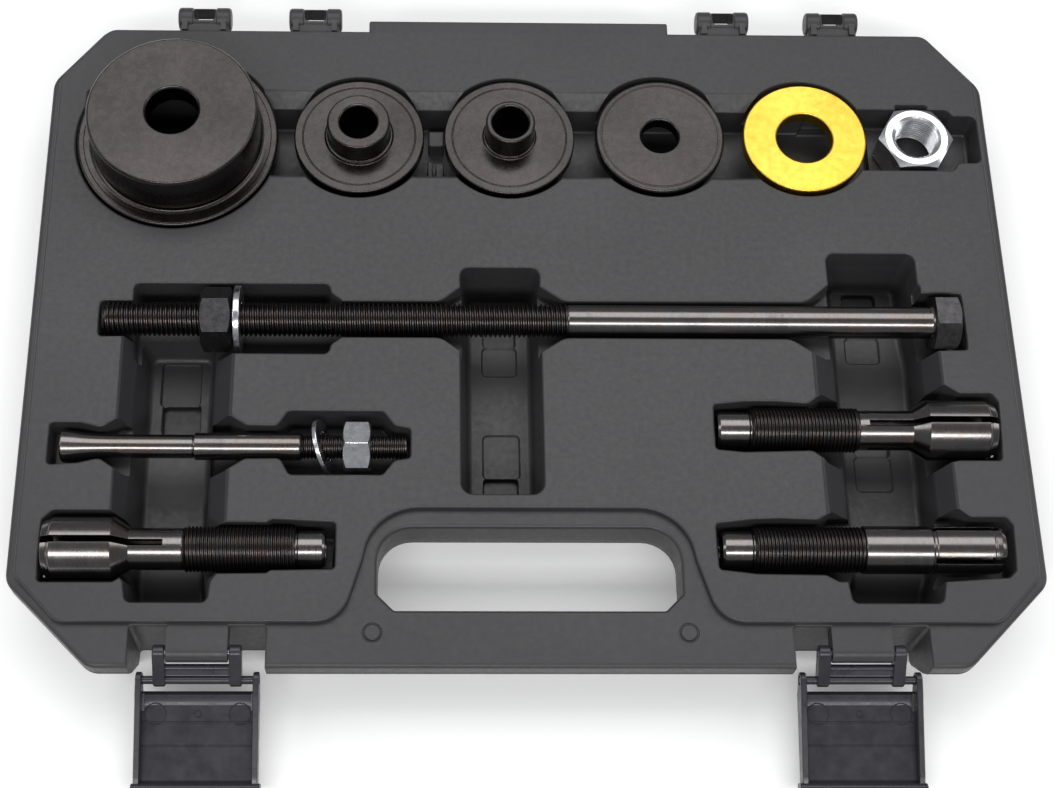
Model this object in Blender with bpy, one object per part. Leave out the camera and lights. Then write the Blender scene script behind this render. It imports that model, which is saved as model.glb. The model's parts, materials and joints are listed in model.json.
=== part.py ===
"""Puller and installer tool set in the base half of its moulded carrying case.

Units: the constants are in millimetres in the deck frame, whose z = 0 is the
deck the tools lie in; every mesh is written in metres in the world frame,
whose origin is the middle of the case's resting face.  +X runs to the right
along the handle side, -Y points at the handle and latches, +Z is up.
"""
import math

import bmesh
import bpy
from mathutils import Matrix, Vector

# ------------------------------------------------------------------ dimensions
MM = 0.001
CASE_HEIGHT = 38.0        # resting face to deck
CASE_HALF_WIDTH = 206.0   # outer edge of the flange
CASE_REAR_Y = 138.5
CASE_FRONT_Y = -155.0
FLANGE_DROP = 3.0         # the flange lies this far below the deck
CHANNEL_DEPTH = 30.0      # finger channels
ROW_DEPTH = 20.0          # the channel under the row of discs
GAP = 0.35                # running gap between neighbouring solids

ROW_Y = 81.8              # middle line of the disc pockets
DISC_R, DISC_T, DISC_TOP = 28.2, 6.3, 2.0
DISC_POCKET_R = 30.6

CUP_X, CUP_Y = -149.2, 80.0
CUP_WALL_R, CUP_FLANGE_R, CUP_TOP, CUP_BOTTOM = 36.5, 43.5, 23.0, -9.0
CUP_POCKET_R = 44.2

BOLT_Y, BOLT_Z, BOLT_R, SHANK_R = -6.4, -2.2, 7.0, 6.75
BOLT_X0, BOLT_X1, SHANK_X = -175.5, 181.6, 17.0
BOLT_HEAD_T, BOLT_HEAD_AF = 10.6, 21.6
BOLT_NUT_X, BOLT_NUT_T, BOLT_NUT_AF = -134.6, 13.0, 24.0
BOLT_WASHER_X, BOLT_WASHER_T, BOLT_WASHER_R = -120.6, 2.6, 14.2

EXP_Y, EXP_Z = -62.4, -5.0
EXP_X0, EXP_X1 = -188.8, -48.8
EXP_THREAD_R = 5.0
EXP_NUT_X, EXP_NUT_T, EXP_NUT_AF = -74.6, 11.2, 19.0
EXP_WASHER_X, EXP_WASHER_T, EXP_WASHER_R = -82.6, 1.8, 11.6   # middle of the washer
WASHER_LEAN, WASHER_YAW = math.radians(17.0), math.radians(9.0)

COLLET_Z = -5.3
LATCH_X = (-129.7, 129.7)
LATCH_PIN_Y, LATCH_PIN_Z, LATCH_PIN_R = -148.0, -6.8, 1.4
ROD_Y, ROD_Z, ROD_R = -157.0, -13.8, 1.65
LEVER_SLOPE = math.radians(13.0)
LEVER_HALF, LEVER_LENGTH = 24.0, 41.0


# -------------------------------------------------------------------- helpers
def clear_scene():
    for o in list(bpy.data.objects):
        bpy.data.objects.remove(o)


def material(name, colour, roughness, metallic):
    m = bpy.data.materials.new(name)
    m.use_nodes = True
    b = m.node_tree.nodes["Principled BSDF"]
    b.inputs["Base Color"].default_value = (*colour, 1)
    b.inputs["Roughness"].default_value = roughness
    b.inputs["Metallic"].default_value = metallic
    return m


def rounded(points, default=0.0, seg=3, offset=0.0):
    """Outline with rounded corners. points are (x, y) or (x, y, r), counter-clockwise.
    offset moves every side outwards (negative: inwards)."""
    n = len(points)
    p = [Vector((q[0], q[1])) for q in points]
    rad = [q[2] if len(q) > 2 else default for q in points]
    out = []
    for i in range(n):
        a, b, c = p[i - 1], p[i], p[(i + 1) % n]
        u, v = (b - a).normalized(), (c - b).normalized()
        nu, nv = Vector((u.y, -u.x)), Vector((v.y, -v.x))
        turn = u.x * v.y - u.y * v.x
        half = math.atan2(turn, u.dot(v)) / 2
        corner = b + (nu + nv) / max(1e-6, (nu + nv).length_squared) * 2 * offset
        r = rad[i]
        if r > 0:
            r = max(0.15, r + offset) if turn > 0 else max(0.15, r - offset)
        if r <= 0 or abs(half) < 0.02:
            out += [corner.copy() for _ in range(seg + 1 if rad[i] > 0 else 1)]
            if rad[i] > 0:
                for k in range(seg + 1):
                    out[-1 - k] = corner + (u * 0.02 * (seg / 2 - k) if True else 0)
                out[-(seg + 1):] = out[-(seg + 1):]
            continue
        t = r * abs(math.tan(half))
        s = corner - u * t
        side = 1 if turn > 0 else -1
        centre = s - nu * r * side
        a0 = math.atan2((s - centre).y, (s - centre).x)
        for k in range(seg + 1):
            ang = a0 + 2 * half * k / seg
            out.append(centre + Vector((math.cos(ang), math.sin(ang))) * r)
    return out


def circle(cx, cy, r, n, start=0.0):
    return [Vector((cx + r * math.cos(start + 2 * math.pi * k / n),
                    cy + r * math.sin(start + 2 * math.pi * k / n))) for k in range(n)]


def new_object(name, bm, mat, smooth=None, cutter=False):
    bmesh.ops.remove_doubles(bm, verts=bm.verts, dist=1e-7)
    bmesh.ops.recalc_face_normals(bm, faces=bm.faces)
    me = bpy.data.meshes.new(name)
    bm.to_mesh(me)
    bm.free()
    if smooth is not None:
        me.shade_smooth()
        me.set_sharp_from_angle(angle=math.radians(smooth))
    o = bpy.data.objects.new(name, me)
    bpy.context.scene.collection.objects.link(o)
    if mat:
        me.materials.append(mat)
    if cutter:
        o.hide_render = True
        o.display_type = "WIRE"
    return o


def add_loft(bm, rings, close_loop=False):
    """Skins rings of 3-D points (mm, deck frame); caps the ends, or closes the loop."""
    vs = [[bm.verts.new((p[0] * MM, p[1] * MM, (p[2] + CASE_HEIGHT) * MM)) for p in ring] for ring in rings]
    n = len(rings[0])
    m = len(rings)
    for i in range(m if close_loop else m - 1):
        a, b = vs[i], vs[(i + 1) % m]
        for k in range(n):
            bm.faces.new((a[k], a[(k + 1) % n], b[(k + 1) % n], b[k]))
    if not close_loop:
        bm.faces.new(list(reversed(vs[0])))
        bm.faces.new(vs[-1])


def prism(name, levels, mat=None, cutter=True):
    """levels: (z, outline) from the bottom up."""
    bm = bmesh.new()
    add_loft(bm, [[(p.x, p.y, z) for p in outline] for z, outline in levels])
    return new_object(name, bm, mat, cutter=cutter)


def box(name, x0, x1, y0, y1, z0, z1, mat=None, cutter=True):
    o = [Vector((x0, y0)), Vector((x1, y0)), Vector((x1, y1)), Vector((x0, y1))]
    return prism(name, [(z0, o), (z1, o)], mat, cutter)


def turned(name, cx, cy, profile, mat, seg=32, closed=True, cutter=False):
    """Solid of revolution about a vertical axis. profile: (r, z). closed joins the last point to the first."""
    bm = bmesh.new()
    rings = [[(cx + r * math.cos(2 * math.pi * k / seg), cy + r * math.sin(2 * math.pi * k / seg), z)
              for k in range(seg)] for r, z in profile]
    add_loft(bm, rings, close_loop=closed)
    return new_object(name, bm, mat, smooth=35, cutter=cutter)


def ring_x(x, cy, cz, shape, seg, phase=0.0):
    """A ring of points in the plane at x. shape: radius, or ("hex", across_flats)."""
    pts = []
    for k in range(seg):
        a = 2 * math.pi * k / seg
        if isinstance(shape, tuple):
            step = math.pi / 3
            loc = (a % step) - step / 2
            r = shape[1] / 2 / math.cos(loc)
            a2 = a + phase
        else:
            r, a2 = shape, a + phase
        pts.append((x, cy + r * math.cos(a2), cz + r * math.sin(a2)))
    return pts


def bar(name, cy, cz, stations, mat, seg=24, phase=0.0, closed=False, cutter=False):
    """Bar along X through stations (x, shape). closed makes a bored piece whose stations run out and back."""
    bm = bmesh.new()
    add_loft(bm, [ring_x(x, cy, cz, s, seg, phase) for x, s in stations], close_loop=closed)
    return new_object(name, bm, mat, smooth=35, cutter=cutter)


def boolean(target, operand, operation):
    m = target.modifiers.new(operation.lower(), "BOOLEAN")
    m.operation = operation
    m.solver = "EXACT"
    if isinstance(operand, bpy.types.Collection):
        m.operand_type = "COLLECTION"
        m.collection = operand
    else:
        m.object = operand
    return m


def group(name, objects):
    c = bpy.data.collections.new(name)
    bpy.context.scene.collection.children.link(c)
    for o in objects:
        c.objects.link(o)
        bpy.context.scene.collection.objects.unlink(o)
    return c


clear_scene()
plastic = material("case_plastic", (0.105, 0.102, 0.108), 0.55, 0.0)
latch_plastic = material("latch_plastic", (0.075, 0.073, 0.085), 0.35, 0.0)
black_steel = material("black_oxide_steel", (0.19, 0.175, 0.17), 0.35, 1.0)
bright_steel = material("zinc_steel", (0.75, 0.75, 0.76), 0.3, 1.0)
yellow_zinc = material("yellow_zinc", (0.85, 0.62, 0.2), 0.35, 1.0)

# ------------------------------------------------------------------ case: body
FLANGE = [(-206, -120.5, 9), (-171.5, -155, 9), (171.5, -155, 9), (206, -120.5, 9),
          (206, 111, 11), (184, 138.5, 8), (-184, 138.5, 8), (-206, 111, 11)]
DECK = [(-202.4, -118.5, 8), (-184.5, -137.6, 8), (-74, -137.6, 14), (-66, -112, 10), (-62, -90.4, 22),
        (62, -90.4, 22), (66, -112, 10), (74, -137.6, 14), (184.5, -137.6, 8), (202.4, -118.5, 8),
        (202.4, 110.5, 9), (182.5, 136.6, 7), (-182.5, 136.6, 7), (-202.4, 110.5, 9)]


def level(points, z, off, seg=3):
    return (z, rounded(points, 0, seg, off))


case = prism("case_base", [level(FLANGE, -CASE_HEIGHT, -11), level(FLANGE, -CASE_HEIGHT + 2.5, -8.5),
                           level(FLANGE, -24, -4.5), level(FLANGE, -17, -1.2), level(FLANGE, -4, 0),
                           level(FLANGE, -FLANGE_DROP, -1)], plastic, cutter=False)
deck = prism("deck_rise", [level(DECK, -8, 0), level(DECK, -0.8, 0), level(DECK, 0, -0.8)])
strip = prism("rear_strip", [(-26, rounded([(-66, 134), (66, 134), (66, 141.5), (-66, 141.5)])),
                             (-0.6, rounded([(-67.4, 134), (67.4, 134), (67.4, 142.4), (-67.4, 142.4)]))])
adds = [deck, strip]
KNUCKLES = (-141.0, -91.3, 92.4, 142.0)
for i, kx in enumerate(KNUCKLES):
    adds.append(bar(f"knuckle_{i}", 145.6, -5.2, [(kx - 11.8, 4.4), (kx - 11.0, 5.2), (kx + 11.0, 5.2), (kx + 11.8, 4.4)], None, seg=12, cutter=True))
    adds.append(box(f"knuckle_web_{i}", kx - 10.6, kx + 10.6, 132, 145, -10, -2.6))
for i, bx in enumerate((-61.8, 61.8)):
    adds.append(prism(f"boss_{i}", [(-8, circle(bx, -141, 3.3, 12)), (-2.3, circle(bx, -141, 3.3, 12)), (-2.0, circle(bx, -141, 2.9, 12))]))

# --------------------------------------------------------------- case: pockets
TOP = 3.0  # cutters stand this far above the deck
cuts = []


def pocket(name, points, floor, draft, default=2.0, seg=2, top=TOP):
    cuts.append(prism(name, [(floor, rounded(points, default, seg, -draft)), (0, rounded(points, default, seg, 0)),
                             (top, rounded(points, default, seg, 0.2))]))


def round_pocket(name, cx, cy, r, floor, n=32):
    cuts.append(prism(name, [(floor, circle(cx, cy, r - 0.5, n)), (TOP, circle(cx, cy, r, n))]))


MID_CHANNEL = [(-27.0, -84.5, 5), (6.7, -84.5, 5), (6.7, 17.8, 4), (-27.0, 17.8, 4)]
RIGHT_CHANNEL = [(126.6, -129.7, 3), (162.6, -129.7, 3), (164.6, -118, 6), (165.0, -8, 4), (166.7, 0, 4), (166.7, 25.5, 4),
                 (128.6, 25.5, 4), (128.6, -4, 5), (119.6, -11, 5), (119.6, -113, 5), (125.4, -120, 4)]
LEFT_CHANNEL = [(-158.4, -129.7, 3), (-126.2, -129.7, 3), (-125.4, -121, 4), (-120.4, -114, 5), (-120.4, -17, 4),
                (-167.8, -17, 4), (-166.5, -114, 5), (-159.6, -121, 4)]
pocket("cut_mid_channel", MID_CHANNEL, -CHANNEL_DEPTH, 2.4)
pocket("cut_right_channel", RIGHT_CHANNEL, -CHANNEL_DEPTH, 2.4)
pocket("cut_left_channel", LEFT_CHANNEL, -CHANNEL_DEPTH, 2.4)

# the channel behind the row of discs: a bevelled far edge, then a steep wall
ROW_MAIN = [(-190.6, 61.5, 2), (127.5, 61.5, 2), (127.5, 98.6, 2), (-190.6, 98.6, 2)]
ROW_EDGE = [(-190.6, 61.5, 2), (127.5, 61.5, 2), (127.5, 105, 2), (-190.6, 105, 2)]
cuts.append(prism("cut_row_main", [(-ROW_DEPTH, rounded(ROW_MAIN, 2, 2, -1.2)), (-5.5, rounded(ROW_MAIN, 2, 2)),
                                   (0, rounded(ROW_EDGE, 2, 2)), (TOP, rounded(ROW_EDGE, 2, 2, 0.3))]))
ROW_SIDE = [(120, 66.4, 2), (189, 66.4, 3), (191, 70.4, 3), (201.4, 70.4, 3), (201.4, 94.6, 3), (191, 94.6, 3), (189, 97.8, 3), (120, 97.8, 2)]
pocket("cut_row_side", ROW_SIDE, -14.8, 0.8)
pocket("cut_row_side_deep", [(120, 66.6), (156.4, 66.6), (156.4, 97.2), (120, 97.2)], -ROW_DEPTH, 1.0, 1.5)
pocket("cut_nut_notch", [(165.6, 70), (180.4, 70), (180.4, 100.2), (165.6, 100.2)], -6, 0.6, 1.5)

round_pocket("cut_cup", CUP_X, CUP_Y, CUP_POCKET_R, CUP_BOTTOM - GAP, 48)
DISC_X = (-70.5, -5.2, 60.6)
DISC_POCKET_Y = (ROW_Y, ROW_Y, 83.0)
RING_X, RING_Y, RING_R, RING_POCKET_R = 124.0, 82.4, 26.9, 29.2
for i, (dx, dy, dr) in enumerate(((DISC_X[0], DISC_POCKET_Y[0], DISC_POCKET_R), (DISC_X[1], DISC_POCKET_Y[1], DISC_POCKET_R),
                                  (DISC_X[2], DISC_POCKET_Y[2], DISC_POCKET_R), (RING_X, RING_Y, RING_POCKET_R))):
    round_pocket(f"cut_disc_{i}", dx, dy, dr, DISC_TOP - DISC_T - GAP)
    a = math.acos(8.6 / dr)
    for s in (0, math.pi):  # deep half-moons leave a ledge at the far and near side
        arc = [Vector((dx + (dr - 0.2) * math.cos(s - a + 2 * a * k / 12), dy + (dr - 0.2) * math.sin(s - a + 2 * a * k / 12))) for k in range(13)]
        cuts.append(prism(f"cut_moon_{i}_{0 if s == 0 else 1}", [(-14, arc), (TOP - 1, arc)]))

# long bolt: its slot, the nut's pocket and the head's pocket
SLOT = [(-177.2, -15.2, 2), (-35, -15.2, 8), (-25.5, -22.5, 3), (5.5, -22.5, 3), (16.5, -15.2, 8), (111, -15.2, 8), (121, -22.0, 3),
        (168, -22.0, 3), (168, 12, 3), (130, 12, 3), (119, 2.4, 8), (16.5, 2.2, 8), (6, 9.5, 3), (-26, 9.5, 3), (-35, 2.0, 8), (-177.2, 1.6, 2)]
pocket("cut_slot", SLOT, BOLT_Z - BOLT_R - 0.5, 0.6)
NUT_POCKET = [(-163.8, -22.9, 3), (-81.2, -22.9, 3), (-80.4, -18.5, 3), (-75.5, -14.8, 3), (-75.5, 1.4, 3), (-80.8, 5.5, 3), (-81.6, 9.8, 3), (-163.7, 9.7, 3)]
pocket("cut_nut_pocket", NUT_POCKET, -17.0, 0.8)
HEAD_POCKET = [(165, -20.6, 2), (184.9, -19.8, 1.5), (184.9, 6.6, 1.5), (165, 6.9, 2)]
pocket("cut_head_pocket", HEAD_POCKET, -15.6, 0.6)

# expander, two pockets joined by the left channel
EXP_HEAD_POCKET = [(-193.6, -72.4, 2), (-181, -71.6, 4), (-164, -68.6, 3), (-164, -56.6, 3), (-181, -53.6, 4), (-193.6, -53.6, 2)]
EXP_POCKET = [(-123, -69.6, 3), (-100, -69.4, 3), (-96.3, -76.5, 3), (-58.3, -76.5, 3), (-53.6, -70.1, 3), (-47.0, -69.2, 2), (-47.0, -55.8, 2),
              (-53.7, -54.6, 3), (-58.4, -48.2, 3), (-97.3, -48.2, 3), (-101.5, -54.8, 3), (-123, -54.6, 3)]
pocket("cut_exp_head", EXP_HEAD_POCKET, -12.2, 0.7)
pocket("cut_exp_nut", EXP_POCKET, -17.4, 0.8)

# collets
COLLET_A_POCKET = [(-193.3, -121.6, 2), (-163.5, -121.6, 4), (-158, -118, 4), (-122, -118, 4), (-103.6, -117.8, 2), (-102, -116.6, 2), (-76.5, -116.2, 2),
                   (-76.5, -96.2, 2), (-102, -95.0, 2), (-104.4, -96.4, 2), (-122, -96.2, 3), (-154, -95, 3), (-159, -91.3, 3), (-189.2, -91.3, 3), (-193.4, -95.5, 2)]
COLLET_B_POCKET = [(76.2, -64.8, 2), (88, -66, 2), (102.7, -65.6, 2), (116, -65.2, 4), (122, -70, 3), (164, -72, 3), (176, -69.4, 4), (193.4, -69.4, 2),
                   (194.8, -43, 2), (192.4, -39.2, 2), (179, -39.2, 3), (173, -35.2, 4), (164, -35.2, 3), (122, -39.0, 3), (116, -44.2, 4), (103, -43.2, 2), (89.7, -43.2, 2), (76.4, -44.6, 2)]
COLLET_C_POCKET = [(74.6, -116, 2), (89.5, -117.8, 2), (117, -118.2, 4), (122, -121, 3), (164, -121, 3), (190.1, -119.2, 2), (193.2, -116, 2), (194.2, -97, 2),
                   (191.7, -93.4, 2), (177.4, -93.4, 3), (172, -89.2, 4), (164, -89.2, 3), (122, -90.5, 3), (116, -94.8, 4), (101, -94.2, 2), (89.5, -94.6, 2), (74.2, -96.4, 2)]
pocket("cut_collet_a", COLLET_A_POCKET, -18.5, 0.7)
pocket("cut_collet_b", COLLET_B_POCKET, -18.5, 0.7)
pocket("cut_collet_c", COLLET_C_POCKET, -15.6, 0.7)

# handle opening, the relief under the handle, and the latch recesses
HANDLE = [(-53.5, -132, 2), (53.5, -132, 2), (60.5, -125, 2), (60.5, -97.6, 14), (-60.5, -97.6, 14), (-60.5, -125, 2)]
cuts.append(prism("cut_handle", [(-CASE_HEIGHT - 3, rounded(HANDLE, 2, 3, 0.8)), (-14, rounded(HANDLE, 2, 3, -0.4)), (TOP, rounded(HANDLE, 2, 3, 0.8))]))
RELIEF = [(-76, -170), (76, -170), (68, -86, 12), (-68, -86, 12)]
cuts.append(prism("cut_relief", [(-CASE_HEIGHT - 3, rounded(RELIEF, 0, 3, 1)), (-23, rounded(RELIEF, 0, 3, -2))]))
for i, lx in enumerate(LATCH_X):
    cuts.append(box(f"cut_latch_{i}", lx - 26.8, lx + 26.8, -175, -138.2, -CASE_HEIGHT - 3, TOP))
for i, kx in enumerate(KNUCKLES):
    cuts.append(box(f"cut_window_{i}", kx - 4.0, kx + 4.0, 143.2, 148.6, -20, TOP))

# ---------------------------------------------- case: islands and latch lugs
late = [box("island_left", -153.5, -128.0, -84, -20, -CHANNEL_DEPTH - 1, -25.5),
        box("pad_mid_0", -17.4, -1.6, -19.6, -3.0, -CHANNEL_DEPTH - 1, -29.0),
        box("pad_mid_1", -17.6, -1.0, -82, -47.0, -CHANNEL_DEPTH - 1, -29.0),
        box("pad_right_0", 134.5, 150.5, -30, -2.0, -CHANNEL_DEPTH - 1, -29.0),
        box("pad_right_1", 132.0, 149.5, -85, -58.0, -CHANNEL_DEPTH - 1, -29.0)]
for i, lx in enumerate(LATCH_X):
    late.append(box(f"lug_{i}", lx - 12.0, lx + 12.0, LATCH_PIN_Y, -137, LATCH_PIN_Z - 3.5, -FLANGE_DROP))
    late.append(bar(f"lug_barrel_{i}", LATCH_PIN_Y, LATCH_PIN_Z, [(lx - 12.0, 3.8), (lx + 12.0, 3.8)], None, seg=16, cutter=True))
bores = [bar(f"lug_bore_{i}", LATCH_PIN_Y, LATCH_PIN_Z, [(lx - 14, LATCH_PIN_R + GAP), (lx + 14, LATCH_PIN_R + GAP)], None, seg=12, cutter=True)
         for i, lx in enumerate(LATCH_X)]

boolean(case, group("case_adds", adds), "UNION")
boolean(case, group("case_cuts", cuts), "DIFFERENCE")
boolean(case, group("case_late", late), "UNION")
boolean(case, group("case_bores", bores), "DIFFERENCE")

# --------------------------------------------------------------------- latches
for side, lx in zip(("left", "right"), LATCH_X):
    bar(f"latch_pin_{side}", LATCH_PIN_Y, LATCH_PIN_Z, [(lx - 17.2, LATCH_PIN_R), (lx + 17.2, LATCH_PIN_R)], bright_steel, seg=12)

    # link: two arms, a cross bar and the rod that the lever turns on
    arm_parts = []
    length = math.hypot(ROD_Y - LATCH_PIN_Y, ROD_Z - LATCH_PIN_Z)
    tilt = math.atan2(ROD_Z - LATCH_PIN_Z, ROD_Y - LATCH_PIN_Y)

    def along(s, h):
        """Point s along the link from the pin, h square to it, in the YZ plane."""
        return (LATCH_PIN_Y + s * math.cos(tilt) - h * math.sin(tilt), LATCH_PIN_Z + s * math.sin(tilt) + h * math.cos(tilt))

    for sgn in (-1, 1):
        x0, x1 = sorted((lx + sgn * 12.5, lx + sgn * 17.2))
        outline = [along(3.1 * math.cos(a), 3.1 * math.sin(a)) for a in (math.radians(90 + 180 * k / 8) for k in range(9))]
        outline += [along(length + 2.6 * math.cos(a), 2.6 * math.sin(a)) for a in (math.radians(-90 + 180 * k / 8) for k in range(9))]
        bm = bmesh.new()
        add_loft(bm, [[(x0, y, z) for y, z in outline], [(x1, y, z) for y, z in outline]])
        arm_parts.append(new_object(f"arm_{side}_{sgn}", bm, None, cutter=True))
    y_bar, z_bar = along(6.6, 0)
    arm_parts.append(bar(f"link_cross_{side}", y_bar, z_bar, [(lx - 14, 1.6), (lx + 14, 1.6)], None, seg=8, cutter=True))
    link = bar(f"latch_link_{side}", ROD_Y, ROD_Z, [(lx - LEVER_HALF + 0.2, ROD_R), (lx + LEVER_HALF - 0.2, ROD_R)], latch_plastic, seg=12)
    boolean(link, group(f"link_parts_{side}", arm_parts), "UNION")
    boolean(link, group(f"link_bores_{side}", [bar(f"link_bore_{side}", LATCH_PIN_Y, LATCH_PIN_Z, [(lx - 19, LATCH_PIN_R + GAP), (lx + 19, LATCH_PIN_R + GAP)], None, seg=12, cutter=True)]), "DIFFERENCE")

    # lever: a shallow tray with a lip, hung on the rod; local s runs out along it, h up
    def on_lever(s, h):
        return (ROD_Y - s * math.cos(LEVER_SLOPE) - h * math.sin(LEVER_SLOPE), ROD_Z - s * math.sin(LEVER_SLOPE) + h * math.cos(LEVER_SLOPE))

    def slab(name, profile, x0, x1, mat=None, cutter=True):
        bm = bmesh.new()
        add_loft(bm, [[(x0, *on_lever(s, h)) for s, h in profile], [(x1, *on_lever(s, h)) for s, h in profile]])
        return new_object(name, bm, mat, cutter=cutter)

    plate = slab(f"latch_lever_{side}", [(4.2, -3.6), (8.0, -5.4), (LEVER_LENGTH, -5.4), (LEVER_LENGTH, -3.2), (8.6, -3.2), (5.6, -1.8)],
                 lx - LEVER_HALF, lx + LEVER_HALF, latch_plastic, cutter=False)
    parts = []
    ear = [(3.2 * math.cos(a), 3.2 * math.sin(a)) for a in (math.radians(90 + 180 * k / 8) for k in range(9))]
    for sgn in (-1, 1):
        x0, x1 = sorted((lx + sgn * (LEVER_HALF - 2.4), lx + sgn * LEVER_HALF))
        parts.append(slab(f"wall_{side}_{sgn}", ear + [(6.0, -5.4), (LEVER_LENGTH - 1, -5.4), (LEVER_LENGTH - 1, 0.2), (LEVER_LENGTH - 4, 0.8), (6.0, 3.2)], x0, x1))
    lip = [(LEVER_LENGTH - 1.5, -5.4), (LEVER_LENGTH + 3.2, -5.4), (LEVER_LENGTH + 4.6, -3.6), (LEVER_LENGTH + 4.6, -0.6), (LEVER_LENGTH + 3.2, 1.2), (LEVER_LENGTH - 0.4, 1.2), (LEVER_LENGTH - 1.5, 0)]
    parts.append(slab(f"lip_{side}", lip, lx - LEVER_HALF - 1.0, lx + LEVER_HALF + 1.0))
    boolean(plate, group(f"lever_parts_{side}", parts), "UNION")
    boolean(plate, group(f"lever_bores_{side}", [bar(f"lever_bore_{side}", ROD_Y, ROD_Z, [(lx - 30, ROD_R + GAP), (lx + 30, ROD_R + GAP)], None, seg=12, cutter=True)]), "DIFFERENCE")

# ------------------------------------------------------------- tools: top row
turned("receiver_cup", CUP_X, CUP_Y,
       [(30.0, CUP_BOTTOM), (42.9, CUP_BOTTOM), (CUP_FLANGE_R, CUP_BOTTOM + 0.6), (CUP_FLANGE_R, 0.2), (42.7, 1.0), (CUP_WALL_R, 1.0),
        (CUP_WALL_R, CUP_TOP - 0.6), (CUP_WALL_R - 0.6, CUP_TOP), (12.3, CUP_TOP), (11.0, CUP_TOP - 1.3), (11.0, CUP_TOP - 10), (30.0, CUP_TOP - 10)],
       black_steel, seg=48)
bottom = DISC_TOP - DISC_T
turned("driver_disc_large_collar", DISC_X[0], 80.7,
       [(7.8, bottom), (DISC_R - 0.6, bottom), (DISC_R, bottom + 0.6), (DISC_R, DISC_TOP - 0.6), (DISC_R - 0.6, DISC_TOP), (14.6, DISC_TOP), (14.6, DISC_TOP + 1.2),
        (13.5, DISC_TOP + 1.2), (13.5, DISC_TOP + 11.4), (12.9, DISC_TOP + 12), (8.4, DISC_TOP + 12), (7.8, DISC_TOP + 11.4)], black_steel)
turned("driver_disc_small_collar", DISC_X[1], 80.7,
       [(7.6, bottom), (DISC_R - 0.3, bottom), (DISC_R + 0.2, bottom + 0.6), (DISC_R + 0.2, DISC_TOP - 0.6), (DISC_R - 0.3, DISC_TOP), (11.4, DISC_TOP), (11.4, DISC_TOP + 1.0),
        (10.6, DISC_TOP + 1.0), (10.6, DISC_TOP + 12.0), (10.0, DISC_TOP + 12.6), (8.2, DISC_TOP + 12.6), (7.6, DISC_TOP + 12.0)], black_steel)
turned("driver_plate_flat", DISC_X[2], 81.9,
       [(8.0, bottom), (DISC_R - 0.6, bottom), (DISC_R, bottom + 0.6), (DISC_R, DISC_TOP - 1.0), (DISC_R - 1.0, DISC_TOP), (8.8, DISC_TOP), (8.0, DISC_TOP - 0.8)], black_steel)
turned("thrust_ring", RING_X, 81.4,
       [(12.2, bottom), (RING_R - 0.5, bottom), (RING_R, bottom + 0.5), (RING_R, DISC_TOP - 0.5), (RING_R - 0.5, DISC_TOP), (12.6, DISC_TOP), (12.2, DISC_TOP - 0.4)], yellow_zinc)

# the collet nut stands on its end: hexagon outside, round bore
NUT_X, NUT_Y, NUT_AF, NUT_TOP, NUT_BOTTOM, NUT_BORE = 173.4, 82.2, 28.6, 1.6, -14.4, 9.9


def ring_z(cx, cy, z, shape, seg, phase):
    out = []
    for _, a, b in ring_x(0, 0, 0, shape, seg, phase):
        out.append((cx + a, cy + b, z))
    return out


bm = bmesh.new()
hexagon = ("hex", NUT_AF)
add_loft(bm, [ring_z(NUT_X, NUT_Y, z, s, 24, 0.0) for z, s in
              ((NUT_BOTTOM, NUT_BORE + 1.0), (NUT_BOTTOM, 13.4), (NUT_BOTTOM + 1.2, hexagon), (NUT_TOP - 1.2, hexagon), (NUT_TOP, 13.4),
               (NUT_TOP, NUT_BORE + 1.0), (NUT_TOP - 1.0, NUT_BORE), (NUT_BOTTOM + 1.0, NUT_BORE))], close_loop=True)
new_object("collet_nut", bm, bright_steel, smooth=35)

# ------------------------------------------------------------ tools: long bolt
bar("long_bolt", BOLT_Y, BOLT_Z,
    [(BOLT_X0, BOLT_R - 1.2), (BOLT_X0 + 1.4, BOLT_R), (SHANK_X, BOLT_R), (SHANK_X + 1.5, SHANK_R), (BOLT_X1 - BOLT_HEAD_T, SHANK_R),
     (BOLT_X1 - BOLT_HEAD_T, ("hex", BOLT_HEAD_AF)), (BOLT_X1 - 1.3, ("hex", BOLT_HEAD_AF)), (BOLT_X1, 10.2)], black_steel, seg=24, phase=math.radians(56))


def hex_nut(name, cy, cz, x, t, af, bore, mat, phase):
    h = ("hex", af)
    bar(name, cy, cz, [(x, bore + 0.8), (x, af / 2 - 0.3), (x + 1.2, h), (x + t - 1.2, h), (x + t, af / 2 - 0.3), (x + t, bore + 0.8), (x + t - 0.9, bore), (x + 0.9, bore)],
        mat, seg=24, phase=phase, closed=True)


def washer(name, cy, cz, x, t, r, bore, mat):
    return bar(name, cy, cz, [(x, bore), (x, r - 0.3), (x + 0.3, r), (x + t - 0.3, r), (x + t, r - 0.3), (x + t, bore)], mat, seg=24, closed=True)


hex_nut("long_bolt_nut", BOLT_Y, BOLT_Z, BOLT_NUT_X, BOLT_NUT_T, BOLT_NUT_AF, BOLT_R + GAP, black_steel, math.radians(17))
washer("long_bolt_washer", BOLT_Y, BOLT_Z, BOLT_WASHER_X, BOLT_WASHER_T, BOLT_WASHER_R, BOLT_R + 0.6, bright_steel)

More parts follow.
